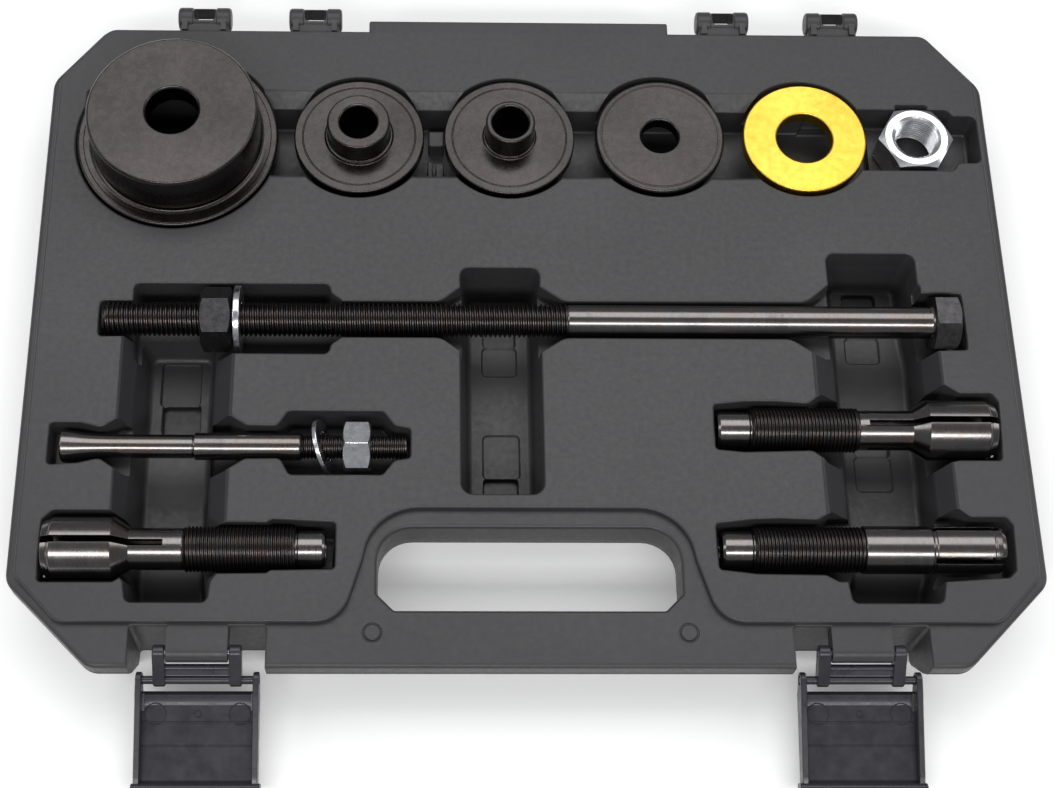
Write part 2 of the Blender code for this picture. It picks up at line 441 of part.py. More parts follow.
# ------------------------------------------------------------- tools: expander
bar("expander_rod", EXP_Y, EXP_Z,
    [(EXP_X0, 6.1), (EXP_X0 + 0.6, 6.7), (-186.5, 6.5), (-180, 5.6), (-173, 4.95), (-168, 4.85), (-135.4, 4.85), (-134.8, 5.6), (-92, 5.6), (-91, EXP_THREAD_R),
     (EXP_X1 - 1.2, EXP_THREAD_R), (EXP_X1, EXP_THREAD_R - 1.0)], black_steel, seg=24)
hex_nut("expander_nut", EXP_Y, EXP_Z, EXP_NUT_X, EXP_NUT_T, EXP_NUT_AF, EXP_THREAD_R + GAP, bright_steel, math.radians(43))
# the loose washer leans on the rod: its top falls back and it is turned a little
leaning = washer("expander_washer", EXP_Y, EXP_Z, EXP_WASHER_X - EXP_WASHER_T / 2, EXP_WASHER_T, EXP_WASHER_R, 6.4, bright_steel)
pivot = Vector((EXP_WASHER_X, EXP_Y, EXP_Z + CASE_HEIGHT)) * MM
leaning.data.transform(Matrix.Translation(pivot) @ Matrix.Rotation(WASHER_YAW, 4, "Z") @ Matrix.Rotation(-WASHER_LEAN, 4, "Y") @ Matrix.Translation(-pivot))


# --------------------------------------------------------------- tools: collets
def collet(name, cy, stations, slot_x, head_x, bore, angle):
    """Bored bar, slit twice from its head end so that four fingers can spread. stations run from the head end."""
    out = stations + [(stations[-1][0], bore), (head_x, bore + 1.6)]
    c = bar(name, cy, COLLET_Z, out, black_steel, seg=24, closed=True, phase=math.radians(7.5))
    slits = []
    for k in range(2):
        lo, hi = sorted((slot_x, head_x + (4 if head_x > slot_x else -4)))
        s = box(f"slit_{name}_{k}", lo, hi, cy - 16, cy + 16, COLLET_Z - 1.5, COLLET_Z + 1.5)
        turn = Matrix.Translation((0, cy * MM, (COLLET_Z + CASE_HEIGHT) * MM)) @ Matrix.Rotation(angle + k * math.pi / 2, 4, "X") @ Matrix.Translation((0, -cy * MM, -(COLLET_Z + CASE_HEIGHT) * MM))
        s.data.transform(turn)
        slits.append(s)
    boolean(c, group(f"slits_{name}", slits), "DIFFERENCE")
    return c


collet("collet_large_a", -106.2, [(-191.8, 8.6), (-191.8, 11.4), (-189.2, 12.2), (-188.6, 12.8), (-164.4, 12.8), (-157.8, 8.4), (-137.2, 8.4), (-136.4, 9.2), (-93.2, 9.2),
                                  (-92.2, 7.3), (-82.0, 7.3), (-80.8, 6.6)], -144.4, -191.8, 5.6, 0.0)
collet("collet_large_b", -54.2, [(191.6, 8.6), (191.6, 11.0), (189.0, 12.2), (188.4, 12.5), (163.6, 12.5), (157.4, 8.2), (136.2, 8.2), (135.4, 9.2), (92.0, 9.2),
                                 (91.0, 7.3), (79.0, 7.3), (77.8, 6.6)], 139.6, 191.6, 5.6, 0.0)
collet("collet_small", -106.0, [(189.2, 8.2), (189.2, 8.6), (187.4, 9.6), (162.0, 9.6), (161.4, 9.1), (160.6, 9.1), (160.0, 9.6), (133.4, 9.6), (132.6, 9.2), (89.8, 9.2),
                                (88.8, 7.3), (77.8, 7.3), (76.6, 6.6)], 160.8, 189.2, 5.6, math.radians(45))
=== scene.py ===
"""Looks for the puller and installer tool set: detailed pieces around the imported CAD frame.

Lengths in this file are millimetres in the deck frame (z = 0 is the deck, 38 mm above the
resting face); P() turns them into metres in the row frame.
"""

import json
import math

import bmesh
import bpy
from mathutils import Matrix, Vector

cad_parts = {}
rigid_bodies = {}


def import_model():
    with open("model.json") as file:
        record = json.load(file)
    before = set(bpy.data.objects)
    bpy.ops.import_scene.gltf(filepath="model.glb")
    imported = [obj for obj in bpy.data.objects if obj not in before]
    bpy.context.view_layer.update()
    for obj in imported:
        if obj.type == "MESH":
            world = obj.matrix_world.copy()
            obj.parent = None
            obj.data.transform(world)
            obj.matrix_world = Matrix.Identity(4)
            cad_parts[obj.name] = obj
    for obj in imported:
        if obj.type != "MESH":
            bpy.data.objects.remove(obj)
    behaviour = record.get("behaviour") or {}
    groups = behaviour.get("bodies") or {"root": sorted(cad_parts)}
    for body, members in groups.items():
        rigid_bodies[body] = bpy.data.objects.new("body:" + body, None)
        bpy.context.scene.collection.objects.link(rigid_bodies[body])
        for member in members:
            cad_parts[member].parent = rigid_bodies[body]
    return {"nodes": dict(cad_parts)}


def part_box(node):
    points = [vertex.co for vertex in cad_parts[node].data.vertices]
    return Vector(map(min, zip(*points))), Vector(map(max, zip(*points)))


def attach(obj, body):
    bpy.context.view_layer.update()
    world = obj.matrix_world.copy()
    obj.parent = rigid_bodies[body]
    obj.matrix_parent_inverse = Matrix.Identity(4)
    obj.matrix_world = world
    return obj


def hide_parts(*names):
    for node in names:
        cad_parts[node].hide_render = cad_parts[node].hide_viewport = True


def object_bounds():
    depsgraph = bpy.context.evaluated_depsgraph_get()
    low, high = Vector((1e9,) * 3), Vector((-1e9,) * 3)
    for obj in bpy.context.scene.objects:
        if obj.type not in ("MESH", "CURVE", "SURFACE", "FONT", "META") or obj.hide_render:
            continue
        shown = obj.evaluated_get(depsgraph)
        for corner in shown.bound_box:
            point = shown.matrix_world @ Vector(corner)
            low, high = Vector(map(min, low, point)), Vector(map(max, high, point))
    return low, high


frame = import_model()
cad_box = [list(map(float, c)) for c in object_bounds()]
nodes = frame["nodes"]

MM, H = 0.001, 38.0


def P(x, y, z):
    return Vector((x * MM, y * MM, (z + H) * MM))


# ======================================================================= mesh helpers
def rounded(points, default=0.0, seg=5, offset=0.0):
    """Outline with rounded corners; points (x, y[, r]) counter-clockwise; offset grows it."""
    n = len(points)
    p = [Vector((q[0], q[1])) for q in points]
    rad = [q[2] if len(q) > 2 else default for q in points]
    out = []
    for i in range(n):
        a, b, c = p[i - 1], p[i], p[(i + 1) % n]
        u, v = (b - a).normalized(), (c - b).normalized()
        nu, nv = Vector((u.y, -u.x)), Vector((v.y, -v.x))
        turn = u.x * v.y - u.y * v.x
        half = math.atan2(turn, u.dot(v)) / 2
        corner = b + (nu + nv) / max(1e-6, (nu + nv).length_squared) * 2 * offset
        r = rad[i]
        if r <= 0:
            out.append(corner)
            continue
        r = max(0.15, r + offset) if turn > 0 else max(0.15, r - offset)
        if abs(half) < 0.02:
            out += [corner + u * 0.02 * (k - seg / 2) for k in range(seg + 1)]
            continue
        t = r * abs(math.tan(half))
        s = corner - u * t
        side = 1 if turn > 0 else -1
        centre = s - nu * r * side
        a0 = math.atan2((s - centre).y, (s - centre).x)
        for k in range(seg + 1):
            ang = a0 + 2 * half * k / seg
            out.append(centre + Vector((math.cos(ang), math.sin(ang))) * r)
    return out


def circle(cx, cy, r, n=64):
    return [Vector((cx + r * math.cos(2 * math.pi * k / n), cy + r * math.sin(2 * math.pi * k / n))) for k in range(n)]


def loft(bm, rings, loop=False):
    vs = [[bm.verts.new(P(*p)) for p in ring] for ring in rings]
    n, m = len(rings[0]), len(rings)
    for i in range(m if loop else m - 1):
        a, b = vs[i], vs[(i + 1) % m]
        for k in range(n):
            bm.faces.new((a[k], a[(k + 1) % n], b[(k + 1) % n], b[k]))
    if not loop:
        bm.faces.new(list(reversed(vs[0])))
        bm.faces.new(vs[-1])


def obj_from(name, bm, mat=None, dist=2e-7):
    bmesh.ops.remove_doubles(bm, verts=bm.verts, dist=dist)
    bmesh.ops.dissolve_degenerate(bm, edges=bm.edges, dist=1e-8)
    bmesh.ops.recalc_face_normals(bm, faces=bm.faces)
    me = bpy.data.meshes.new(name)
    bm.to_mesh(me)
    bm.free()
    o = bpy.data.objects.new(name, me)
    bpy.context.scene.collection.objects.link(o)
    if mat:
        me.materials.append(mat)
    return o


def prism(name, levels, mat=None):
    """levels: (z, outline), bottom up."""
    bm = bmesh.new()
    loft(bm, [[(p.x, p.y, z) for p in outline] for z, outline in levels])
    return obj_from(name, bm, mat)


def arc(r, n=5, lo=0.0, hi=90.0):
    """(run, rise) pairs of a quarter round of radius r, from (0, 0) to (r, r)."""
    out = []
    for k in range(n + 1):
        t = math.radians(lo + (hi - lo) * k / n)
        out.append((r - r * math.cos(t), r * math.sin(t)))
    return out


def gather(name, objects):
    c = bpy.data.collections.new(name)
    bpy.context.scene.collection.children.link(c)
    for o in objects:
        c.objects.link(o)
        bpy.context.scene.collection.objects.unlink(o)
    return c


def carve(target, objects, operation):
    """Boolean of target with several solids at once; the operands are removed."""
    col = gather("operands", objects)
    before = len(target.data.polygons)
    for solver in ("MANIFOLD", "EXACT"):
        m = target.modifiers.new("b", "BOOLEAN")
        m.operation, m.solver = operation, solver
        m.operand_type, m.collection = "COLLECTION", col
        dg = bpy.context.evaluated_depsgraph_get()
        me = bpy.data.meshes.new_from_object(target.evaluated_get(dg))
        target.modifiers.clear()
        if len(me.polygons) > before * 0.5 + 4:
            break
        print("solver", solver, "gave", len(me.polygons), "faces for", target.name)
    old = target.data
    target.data = me
    bpy.data.meshes.remove(old)
    for o in list(col.objects):
        d = o.data
        bpy.data.objects.remove(o)
        bpy.data.meshes.remove(d)
    bpy.data.collections.remove(col)
    return target


def finish(o, angle=38.0, weighted=True, bevel=0.0, seg=2):
    """Smooth shading with sharp edges; optional small bevel; area-weighted normals."""
    if bevel:
        b = o.modifiers.new("bevel", "BEVEL")
        b.width, b.segments, b.limit_method, b.angle_limit = bevel * MM, seg, "ANGLE", math.radians(28)
        b.miter_outer = "MITER_ARC"
        b.use_clamp_overlap = True
        dg = bpy.context.evaluated_depsgraph_get()
        me = bpy.data.meshes.new_from_object(o.evaluated_get(dg))
        o.modifiers.clear()
        o.data = me
    o.data.shade_smooth()
    o.data.set_sharp_from_angle(angle=math.radians(angle))
    if weighted:
        w = o.modifiers.new("normals", "WEIGHTED_NORMAL")
        w.keep_sharp, w.weight, w.mode = True, 50, "FACE_AREA"
    return o


def piece(o, body, node=None):
    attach(o, body)
    if node:
        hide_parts(*([node] if isinstance(node, str) else node))
    return o


def spin(name, cx, cy, profile, mat, n=96, loop=True):
    """Solid of revolution about a vertical axis; profile (r, z)."""
    bm = bmesh.new()
    loft(bm, [[(cx + r * math.cos(2 * math.pi * k / n), cy + r * math.sin(2 * math.pi * k / n), z) for k in range(n)] for r, z in profile], loop)
    return obj_from(name, bm, mat)


def lathe_x(name, cy, cz, stations, mat=None, n=64, loop=False, phase=0.0):
    """Solid of revolution about an axis along X; stations (x, r)."""
    bm = bmesh.new()
    loft(bm, [[(x, cy + r * math.cos(phase + 2 * math.pi * k / n), cz + r * math.sin(phase + 2 * math.pi * k / n)) for k in range(n)] for x, r in stations], loop)
    return obj_from(name, bm, mat)


def soft(profile, r=0.35, n=3):
    """Rounds every corner of a closed (a, b) profile with a small radius."""
    out, m = [], len(profile)
    for i in range(m):
        a, b, c = (Vector(profile[(i + d) % m]) for d in (-1, 0, 1))
        u, v = (b - a), (c - b)
        if u.length < 1e-6 or v.length < 1e-6:
            continue
        turn = abs(math.atan2(u.x * v.y - u.y * v.x, u.dot(v)))
        k = min(r, 0.4 * u.length, 0.4 * v.length)
        if turn < 0.2 or k < 0.03:
            out.append(tuple(b))
            continue
        s, e = b - u.normalized() * k, b + v.normalized() * k
        for j in range(n + 1):
            t = j / n
            out.append(tuple(s * (1 - t) ** 2 + b * 2 * t * (1 - t) + e * t * t))
    return out


def thread(bm, cy, cz, x0, x1, r, pitch, depth, n=36, hand=1, cham0=0.0, cham1=0.0, crest=0.16, root=0.14):
    """A real helical thread on a solid bar along X, added to bm as one closed body."""
    flank = (1 - crest - root) / 2
    cut = [0.0, crest, crest + flank, crest + flank + root]  # crest start, crest end, root start, root end
    spp = len(cut)

    def height(ph):
        ph %= 1.0
        if ph < crest:
            return r
        if ph < crest + flank:
            return r - depth * (ph - crest) / flank
        if ph < crest + flank + root:
            return r - depth
        return r - depth * (1 - (ph - crest - flank - root) / flank)

    turns = int((x1 - x0) / pitch) + 3
    rows = []
    for i in range(-spp * 2, turns * spp + 1):
        row = []
        for k in range(n):
            raw = x0 + pitch * (i // spp + cut[i % spp] + k / n)
            x = min(max(raw, x0), x1)
            rr = height((x - x0) / pitch - k / n)
            if cham0:
                rr = min(rr, r - cham0 + (x - x0))
            if cham1:
                rr = min(rr, r - cham1 + (x1 - x))
            a = hand * 2 * math.pi * k / n
            row.append(bm.verts.new(P(x, cy + rr * math.cos(a), cz + rr * math.sin(a))))
        rows.append(row)
    m = len(rows)

    def v(i, k):
        if k < n:
            return rows[i][k]
        return rows[i + spp][k - n] if i + spp < m else None

    for i in range(m - 1):
        for k in range(n):
            q = [v(i, k), v(i, k + 1), v(i + 1, k + 1), v(i + 1, k)]
            if None in q:
                continue
            try:
                bm.faces.new(q)
            except ValueError:
                pass


def seal(bm):
    bmesh.ops.remove_doubles(bm, verts=bm.verts, dist=1e-6)
    bmesh.ops.dissolve_degenerate(bm, edges=bm.edges, dist=1e-7)
    loose = [v for v in bm.verts if not v.link_faces]
    bmesh.ops.delete(bm, geom=loose, context="VERTS")
    open_edges = [e for e in bm.edges if len(e.link_faces) == 1]
    bmesh.ops.holes_fill(bm, edges=open_edges, sides=0)


# ======================================================================= materials
class Nodes:
    """Short names for building a node tree."""

    def __init__(self, name, colour, rough, metallic=0.0, **k):
        self.m = bpy.data.materials.new(name)
        self.m.use_nodes = True
        self.t = self.m.node_tree
        self.b = self.t.nodes["Principled BSDF"]
        self.b.inputs["Base Color"].default_value = (*colour, 1)
        self.b.inputs["Roughness"].default_value = rough
        self.b.inputs["Metallic"].default_value = metallic
        for key, value in k.items():
            self.b.inputs[key.replace("_", " ")].default_value = value
        self.coord = self.t.nodes.new("ShaderNodeTexCoord").outputs["Object"]

    def node(self, kind, **inputs):
        n = self.t.nodes.new(kind)
        for key, value in inputs.items():
            s = n.inputs[key]
            if isinstance(value, bpy.types.NodeSocket):
                self.t.links.new(value, s)
            else:
                s.default_value = value
        return n

    def noise(self, scale, detail=3.0, rough=0.55, stretch=None, offset=None):
        src = self.coord
        if stretch or offset:
            mp = self.t.nodes.new("ShaderNodeMapping")
            mp.inputs["Scale"].default_value = stretch or (1, 1, 1)
            mp.inputs["Location"].default_value = offset or (0, 0, 0)
            self.t.links.new(src, mp.inputs["Vector"])
            src = mp.outputs["Vector"]
        n = self.t.nodes.new("ShaderNodeTexNoise")
        n.inputs["Scale"].default_value = scale
        n.inputs["Detail"].default_value = detail
        n.inputs["Roughness"].default_value = rough
        self.t.links.new(src, n.inputs["Vector"])
        return n.outputs["Fac"]

    def ramp(self, fac, stops):
        r = self.t.nodes.new("ShaderNodeValToRGB")
        e = r.color_ramp.elements
        e[0].position, e[0].color = stops[0][0], (*stops[0][1], 1)
        e[1].position, e[1].color = stops[-1][0], (*stops[-1][1], 1)
        for pos, col in stops[1:-1]:
            x = e.new(pos)
            x.color = (*col, 1)
        self.t.links.new(fac, r.inputs["Fac"])
        return r.outputs["Color"]

    def range(self, fac, lo, hi, a=0.0, b=1.0):
        n = self.t.nodes.new("ShaderNodeMapRange")
        n.inputs["From Min"].default_value, n.inputs["From Max"].default_value = a, b
        n.inputs["To Min"].default_value, n.inputs["To Max"].default_value = lo, hi
        self.t.links.new(fac, n.inputs["Value"])
        return n.outputs["Result"]

    def math(self, op, a, b=0.5):
        n = self.t.nodes.new("ShaderNodeMath")
        n.operation = op
        for s, v in zip(n.inputs, (a, b)):
            if isinstance(v, bpy.types.NodeSocket):
                self.t.links.new(v, s)
            else:
                s.default_value = v
        return n.outputs[0]

    def set(self, key, value):
        self.t.links.new(value, self.b.inputs[key])

    def bump(self, height, strength, distance, chain=None):
        n = self.t.nodes.new("ShaderNodeBump")
        n.inputs["Strength"].default_value = strength
        n.inputs["Distance"].default_value = distance
        self.t.links.new(height, n.inputs["Height"])
        if chain is not None:
            self.t.links.new(chain, n.inputs["Normal"])
        return n.outputs["Normal"]

    def tangent(self, axis):
        n = self.t.nodes.new("ShaderNodeTangent")
        n.direction_type, n.axis = "RADIAL", axis
        self.t.links.new(n.outputs[0], self.b.inputs["Tangent"])


def grey(v, tint=(1, 1, 1)):
    return tuple(v * t for t in tint)


def plastic_case():
    s = Nodes("hdpe_case", (0.1, 0.1, 0.1), 0.5)
    fine = s.noise(2600, 2.0, 0.6)
    mid = s.noise(420, 3.0, 0.55)
    broad = s.noise(14, 3.0, 0.5)
    tone = s.math("ADD", s.math("MULTIPLY", fine, 0.5), s.math("MULTIPLY", broad, 0.5))
    s.set("Base Color", s.ramp(tone, [(0.30, (0.030, 0.0290, 0.0315)), (0.5, (0.038, 0.0368, 0.0395)), (0.70, (0.047, 0.0455, 0.0485))]))
    s.set("Roughness", s.range(mid, 0.38, 0.50, 0.3, 0.7))
    n1 = s.bump(fine, 0.32, 0.00012)
    s.set("Normal", s.bump(mid, 0.10, 0.0004, n1))
    s.b.inputs["Specular IOR Level"].default_value = 0.5
    return s.m


def plastic_latch():
    s = Nodes("latch_moulding", (0.05, 0.05, 0.06), 0.3)
    fine = s.noise(1500, 2.0, 0.6)
    broad = s.noise(30, 3.0, 0.5)
    s.set("Base Color", s.ramp(broad, [(0.3, (0.022, 0.021, 0.027)), (0.7, (0.032, 0.030, 0.038))]))
    s.set("Roughness", s.range(s.noise(160, 4.0, 0.6), 0.24, 0.40, 0.3, 0.7))
    s.set("Normal", s.bump(fine, 0.12, 0.0001, s.bump(s.noise(70, 2.0, 0.5), 0.10, 0.0006)))
    return s.m


def steel(name, dark, light, rough, axis=None, aniso=0.0, grain=(1, 1, 1), warm=None, scale=90, rings=0.0, speck=0.25):
    """Turned or rolled steel: lathe marks across the axis, soft blotches, worn specks."""
    s = Nodes(name, light, rough, 1.0)
    blotch = s.noise(scale, 4.0, 0.6)
    lines = s.noise(900, 3.0, 0.6, stretch=grain)
    stops = [(0.30, dark), (0.62, light)]
    if warm:
        stops = [(0.28, dark), (0.50, light), (0.66, warm), (0.74, light)]
    mix = s.math("ADD", s.math("MULTIPLY", blotch, 0.6), s.math("MULTIPLY", lines, 0.4))
    s.set("Base Color", s.ramp(mix, stops))
    s.set("Roughness", s.range(s.noise(300, 4.0, 0.65, stretch=grain), rough * 0.8, rough * 1.25, 0.3, 0.7))
    n = s.bump(lines, 0.10 + rings, 0.00008)
    s.set("Normal", s.bump(s.noise(1800, 2.0, 0.6), speck, 0.00004, n))
    if axis:
        s.tangent(axis)
        s.b.inputs["Anisotropic"].default_value = aniso
    return s.m


case_mat = plastic_case()
latch_mat = plastic_latch()
face_mat = steel("black_oxide_faced", (0.048, 0.043, 0.042), (0.070, 0.063, 0.061), 0.27, "Z", 0.72, grain=(1, 1, 1), scale=40)
turn_mat = steel("black_oxide_turned", (0.115, 0.107, 0.106), (0.200, 0.190, 0.188), 0.18, "X", 0.45, grain=(6, 0.3, 0.3), warm=(0.185, 0.150, 0.130), scale=70, speck=0.12)
thread_mat = steel("black_oxide_thread", (0.030, 0.027, 0.027), (0.085, 0.078, 0.078), 0.32, None, 0.0, grain=(0.4, 2, 2), warm=(0.085, 0.058, 0.045), scale=160)
forged_mat = steel("black_oxide_forged", (0.055, 0.053, 0.056), (0.110, 0.106, 0.110), 0.40, None, 0.0, scale=420, speck=0.5)
zinc_mat = steel("bright_zinc", (0.62, 0.63, 0.68), (0.88, 0.88, 0.90), 0.22, None, 0.0, scale=200)
yellow_mat = steel("yellow_zinc_turned", (0.80, 0.50, 0.055), (0.93, 0.62, 0.10), 0.34, "Z", 0.7, scale=30)
pin_mat = steel("drawn_pin", (0.35, 0.35, 0.37), (0.55, 0.55, 0.57), 0.3, "X", 0.3, scale=200)
bore_mat = steel("bore_dark", (0.03, 0.028, 0.028), (0.06, 0.056, 0.056), 0.45, None, 0.0, scale=100)

# ======================================================================= the case
S = 7  # segments per corner
FLANGE = [(-206, -120.5, 9), (-171.5, -155, 9), (171.5, -155, 9), (206, -120.5, 9),
          (206, 111, 11), (184, 138.5, 8), (-184, 138.5, 8), (-206, 111, 11)]
DECK = [(-202.4, -118.5, 8), (-184.5, -137.6, 8), (-74, -137.6, 14), (-66, -112, 10), (-62, -90.4, 22),
        (62, -90.4, 22), (66, -112, 10), (74, -137.6, 14), (184.5, -137.6, 8), (202.4, -118.5, 8),
        (202.4, 110.5, 9), (182.5, 136.6, 7), (-182.5, 136.6, 7), (-202.4, 110.5, 9)]
SHELL = [(-38, -14.0), (-37.6, -12.2), (-36.7, -10.9), (-35.2, -9.9), (-33, -8.9), (-24, -4.5), (-19.5, -2.4), (-17, -1.5), (-15, -0.8),
         (-13.2, -0.25), (-11.8, 0), (-11.5, -0.05), (-11.2, -0.5), (-10.8, -0.5), (-10.5, -0.05), (-10.2, 0), (-4.9, 0), (-4.2, -0.12), (-3.7, -0.42),
         (-3.3, -0.9), (-3.08, -1.5), (-3.0, -2.2)]
case = prism("case_shell", [(z, rounded(FLANGE, 0, 10, off)) for z, off in SHELL], case_mat)


def rim_levels(points, wall, default, seg, rim, top=3.0, lift=0.0, slope=0.0):
    """The last rings of a cutter: a wall that rounds over into the surface at z = lift."""
    out = []
    for run, rise in arc(rim, 5):
        out.append((lift - rim + rise, rounded(points, default, seg, wall + run)))
    out.append((lift + top, rounded(points, default, seg, wall + rim + 0.05)))
    return out


def pocket(points, floor, draft, default=2.0, seg=S, rim=1.0, fil=1.4, lift=0.0, name="pocket", shift=-0.35):
    lv = [(floor + fil - fil * math.cos(t), rounded(points, default, seg, shift - draft - fil + fil * math.sin(t)))
          for t in (math.radians(d) for d in (0, 25, 50, 75, 90))]
    lv += rim_levels(points, shift, default, seg, rim, lift=lift)
    return prism(name, lv)


def round_pocket(cx, cy, r, floor, rim=0.9, fil=1.0, n=128, draft=0.4, lift=0.0):
    lv = [(floor + fil - fil * math.cos(t), circle(cx, cy, r - draft - fil + fil * math.sin(t), n)) for t in (math.radians(d) for d in (0, 30, 60, 90))]
    for run, rise in arc(rim, 5):
        lv.append((lift - rim + rise, circle(cx, cy, r - 0.25 + run, n)))
    lv.append((lift + 3, circle(cx, cy, r - 0.2 + rim, n)))
    return prism("round_pocket", lv)


def channel(deck, mid, zm, low, zf, fil=2.6, rim=1.1, soften=1.4):
    """Two-stage finger channel: a flared mouth from the deck down to zm, then steep walls to the floor."""
    lv = [(zf + fil - fil * math.cos(t), rounded(low, 0, S, -fil + fil * math.sin(t))) for t in (math.radians(d) for d in (0, 22, 45, 68, 90))]
    lv.append((zm - soften, rounded(mid, 0, S, -0.12)))
    lv.append((zm, rounded(mid, 0, S, 0.25)))
    mix = lambda a, b, t: [(p[0] + (q[0] - p[0]) * t, p[1] + (q[1] - p[1]) * t, p[2]) for p, q in zip(a, b)]
    lv.append((zm + soften, rounded(mix(mid, deck, 1.25 * soften / -zm), 0, S, 0.1)))
    lv.append((-rim, rounded(mix(deck, mid, rim / -zm), 0, S, -0.12)))
    lv.append((-rim * 0.5, rounded(deck, 0, S, -0.1)))
    lv.append((-rim * 0.16, rounded(deck, 0, S, 0.28)))
    lv.append((0, rounded(deck, 0, S, 0.75)))
    lv.append((3, rounded(deck, 0, S, 0.8)))
    return prism("channel", lv)


def raised(points, z0, z1, default=1.5, r=0.6, draft=0.3, seg=4):
    lv = [(z0, rounded(points, default, seg, draft)), (z1 - r, rounded(points, default, seg, 0))]
    lv += [(z1 - r + rise, rounded(points, default, seg, -run)) for run, rise in arc(r, 4)[1:]]
    return prism("raised", lv)


def groove(points, z, width=0.7, depth=0.5, default=2.0, seg=S, lift=1.0):
    """A narrow closed groove that follows an outline in the surface at z."""
    w = width / 2
    bm = bmesh.new()
    loft(bm, [[(p.x, p.y, zz) for p in rounded(points, default, seg, off)] for zz, off in
              ((z + lift, w), (z, w), (z - depth * 0.7, w * 0.75), (z - depth, w * 0.3), (z - depth, -w * 0.3), (z - depth * 0.7, -w * 0.75), (z, -w), (z + lift, -w))], loop=True)
    return obj_from("groove", bm)


def ring_groove(cx, cy, r, z, width=0.6, depth=0.4, n=64, lift=1.0):
    w = width / 2
    bm = bmesh.new()
    loft(bm, [[(p.x, p.y, zz) for p in circle(cx, cy, r + off, n)] for zz, off in
              ((z + lift, w), (z, w), (z - depth, w * 0.4), (z - depth, -w * 0.4), (z, -w), (z + lift, -w))], loop=True)
    return obj_from("ring_groove", bm)


adds = [prism("deck_rise", [(-8, rounded(DECK, 0, 9, 0.1))] + [(-1.15 + rise, rounded(DECK, 0, 9, -run)) for run, rise in arc(1.15, 5)])]
STRIP = [(-67, 134, 0.8), (67, 134, 0.8), (67, 142.2, 0.8), (-67, 142.2, 0.8)]
adds.append(prism("rear_strip", [(-26, rounded(STRIP, 0, 3, -1.5)), (-20, rounded(STRIP, 0, 3, -0.2)), (-1.0, rounded(STRIP, 0, 3, 0)), (-0.3, rounded(STRIP, 0, 3, -0.3)), (-0.02, rounded(STRIP, 0, 3, -0.9))]))
KNUCKLES = (-141.0, -91.3, 92.4, 142.0)
for kx in KNUCKLES:
    adds.append(lathe_x("knuckle", 145.6, -5.2, [(kx - 11.8, 4.0), (kx - 11.55, 4.7), (kx - 11.0, 5.1), (kx - 10.4, 5.2), (kx - 5.6, 5.2), (kx - 5.2, 4.75), (kx + 5.2, 4.75), (kx + 5.6, 5.2),
                                                 (kx + 10.4, 5.2), (kx + 11.0, 5.1), (kx + 11.55, 4.7), (kx + 11.8, 4.0)], n=40))
    web = [(kx - 10.8, 130, 0.6), (kx + 10.8, 130, 0.6), (kx + 10.8, 145.4, 0.6), (kx - 10.8, 145.4, 0.6)]
    adds.append(prism("web", [(-16, rounded(web, 0, 3, -2.2)), (-10, rounded(web, 0, 3, 0)), (-3.2, rounded(web, 0, 3, 0)), (-2.6, rounded(web, 0, 3, -0.6))]))
    for e in (-1, 1):
        adds.append(prism("web_rib", [(-9, rounded([(kx + e * 8.6 - 1.6, 136), (kx + e * 8.6 + 1.6, 136), (kx + e * 8.6 + 1.6, 146), (kx + e * 8.6 - 1.6, 146)], 0.5, 3)),
                                      (-0.8, rounded([(kx + e * 8.6 - 1.6, 137), (kx + e * 8.6 + 1.6, 137), (kx + e * 8.6 + 1.6, 146), (kx + e * 8.6 - 1.6, 146)], 0.5, 3, -0.4))]))
for bx in (-61.8, 61.8):
    adds.append(prism("boss", [(-8, circle(bx, -141, 3.3, 40)), (-2.5, circle(bx, -141, 3.25, 40)), (-2.2, circle(bx, -141, 3.05, 40)), (-2.02, circle(bx, -141, 2.6, 40))]))
carve(case, adds, "UNION")

cuts = []
MID_D = [(-27.0, -84.5, 5), (6.7, -84.5, 5), (6.7, 17.8, 4), (-27.0, 17.8, 4)]
MID_M = [(-26.0, -83.4, 5), (5.8, -83.4, 5), (5.8, 17.0, 4), (-26.0, 17.0, 4)]
MID_F = [(-23.6, -81.6, 5), (4.0, -81.6, 5), (4.0, 15.6, 4), (-23.6, 15.6, 4)]
cuts.append(channel(MID_D, MID_M, -10, MID_F, -30))
RIGHT_D = [(126.6, -129.7, 3), (162.6, -129.7, 3), (164.8, -119, 5), (172.8, -112, 7), (172.8, -14, 7), (166.7, 3, 6), (166.7, 25.5, 4),
           (128.6, 25.5, 4), (128.6, -4, 5), (119.6, -11, 6), (119.6, -113, 6), (125.4, -120, 4)]
RIGHT_M = [(128.0, -128.8, 3), (161.6, -128.8, 3), (163.6, -118, 5), (167.2, -111, 6), (167.4, -14, 6), (165.8, 3, 6), (165.8, 24.7, 4),
           (129.6, 24.7, 4), (130.2, -4, 5), (130.6, -11, 6), (130.4, -113, 6), (128.0, -120, 4)]
RIGHT_F = [(129.6, -127.6, 3), (160.6, -127.6, 3), (162.4, -118, 5), (165.2, -111, 6), (166.2, -14, 6), (164.6, 3, 6), (164.6, 23.2, 4),
           (134.6, 23.2, 4), (134.4, -4, 5), (134.2, -11, 6), (133.6, -113, 6), (130.2, -120, 4)]
cuts.append(channel(RIGHT_D, RIGHT_M, -11, RIGHT_F, -30))
LEFT_D = [(-158.4, -129.7, 3), (-126.2, -129.7, 3), (-125.4, -121, 4), (-120.4, -114, 6), (-120.4, -11, 4),
          (-166.8, -11, 4), (-166.4, -114, 6), (-159.6, -121, 4)]
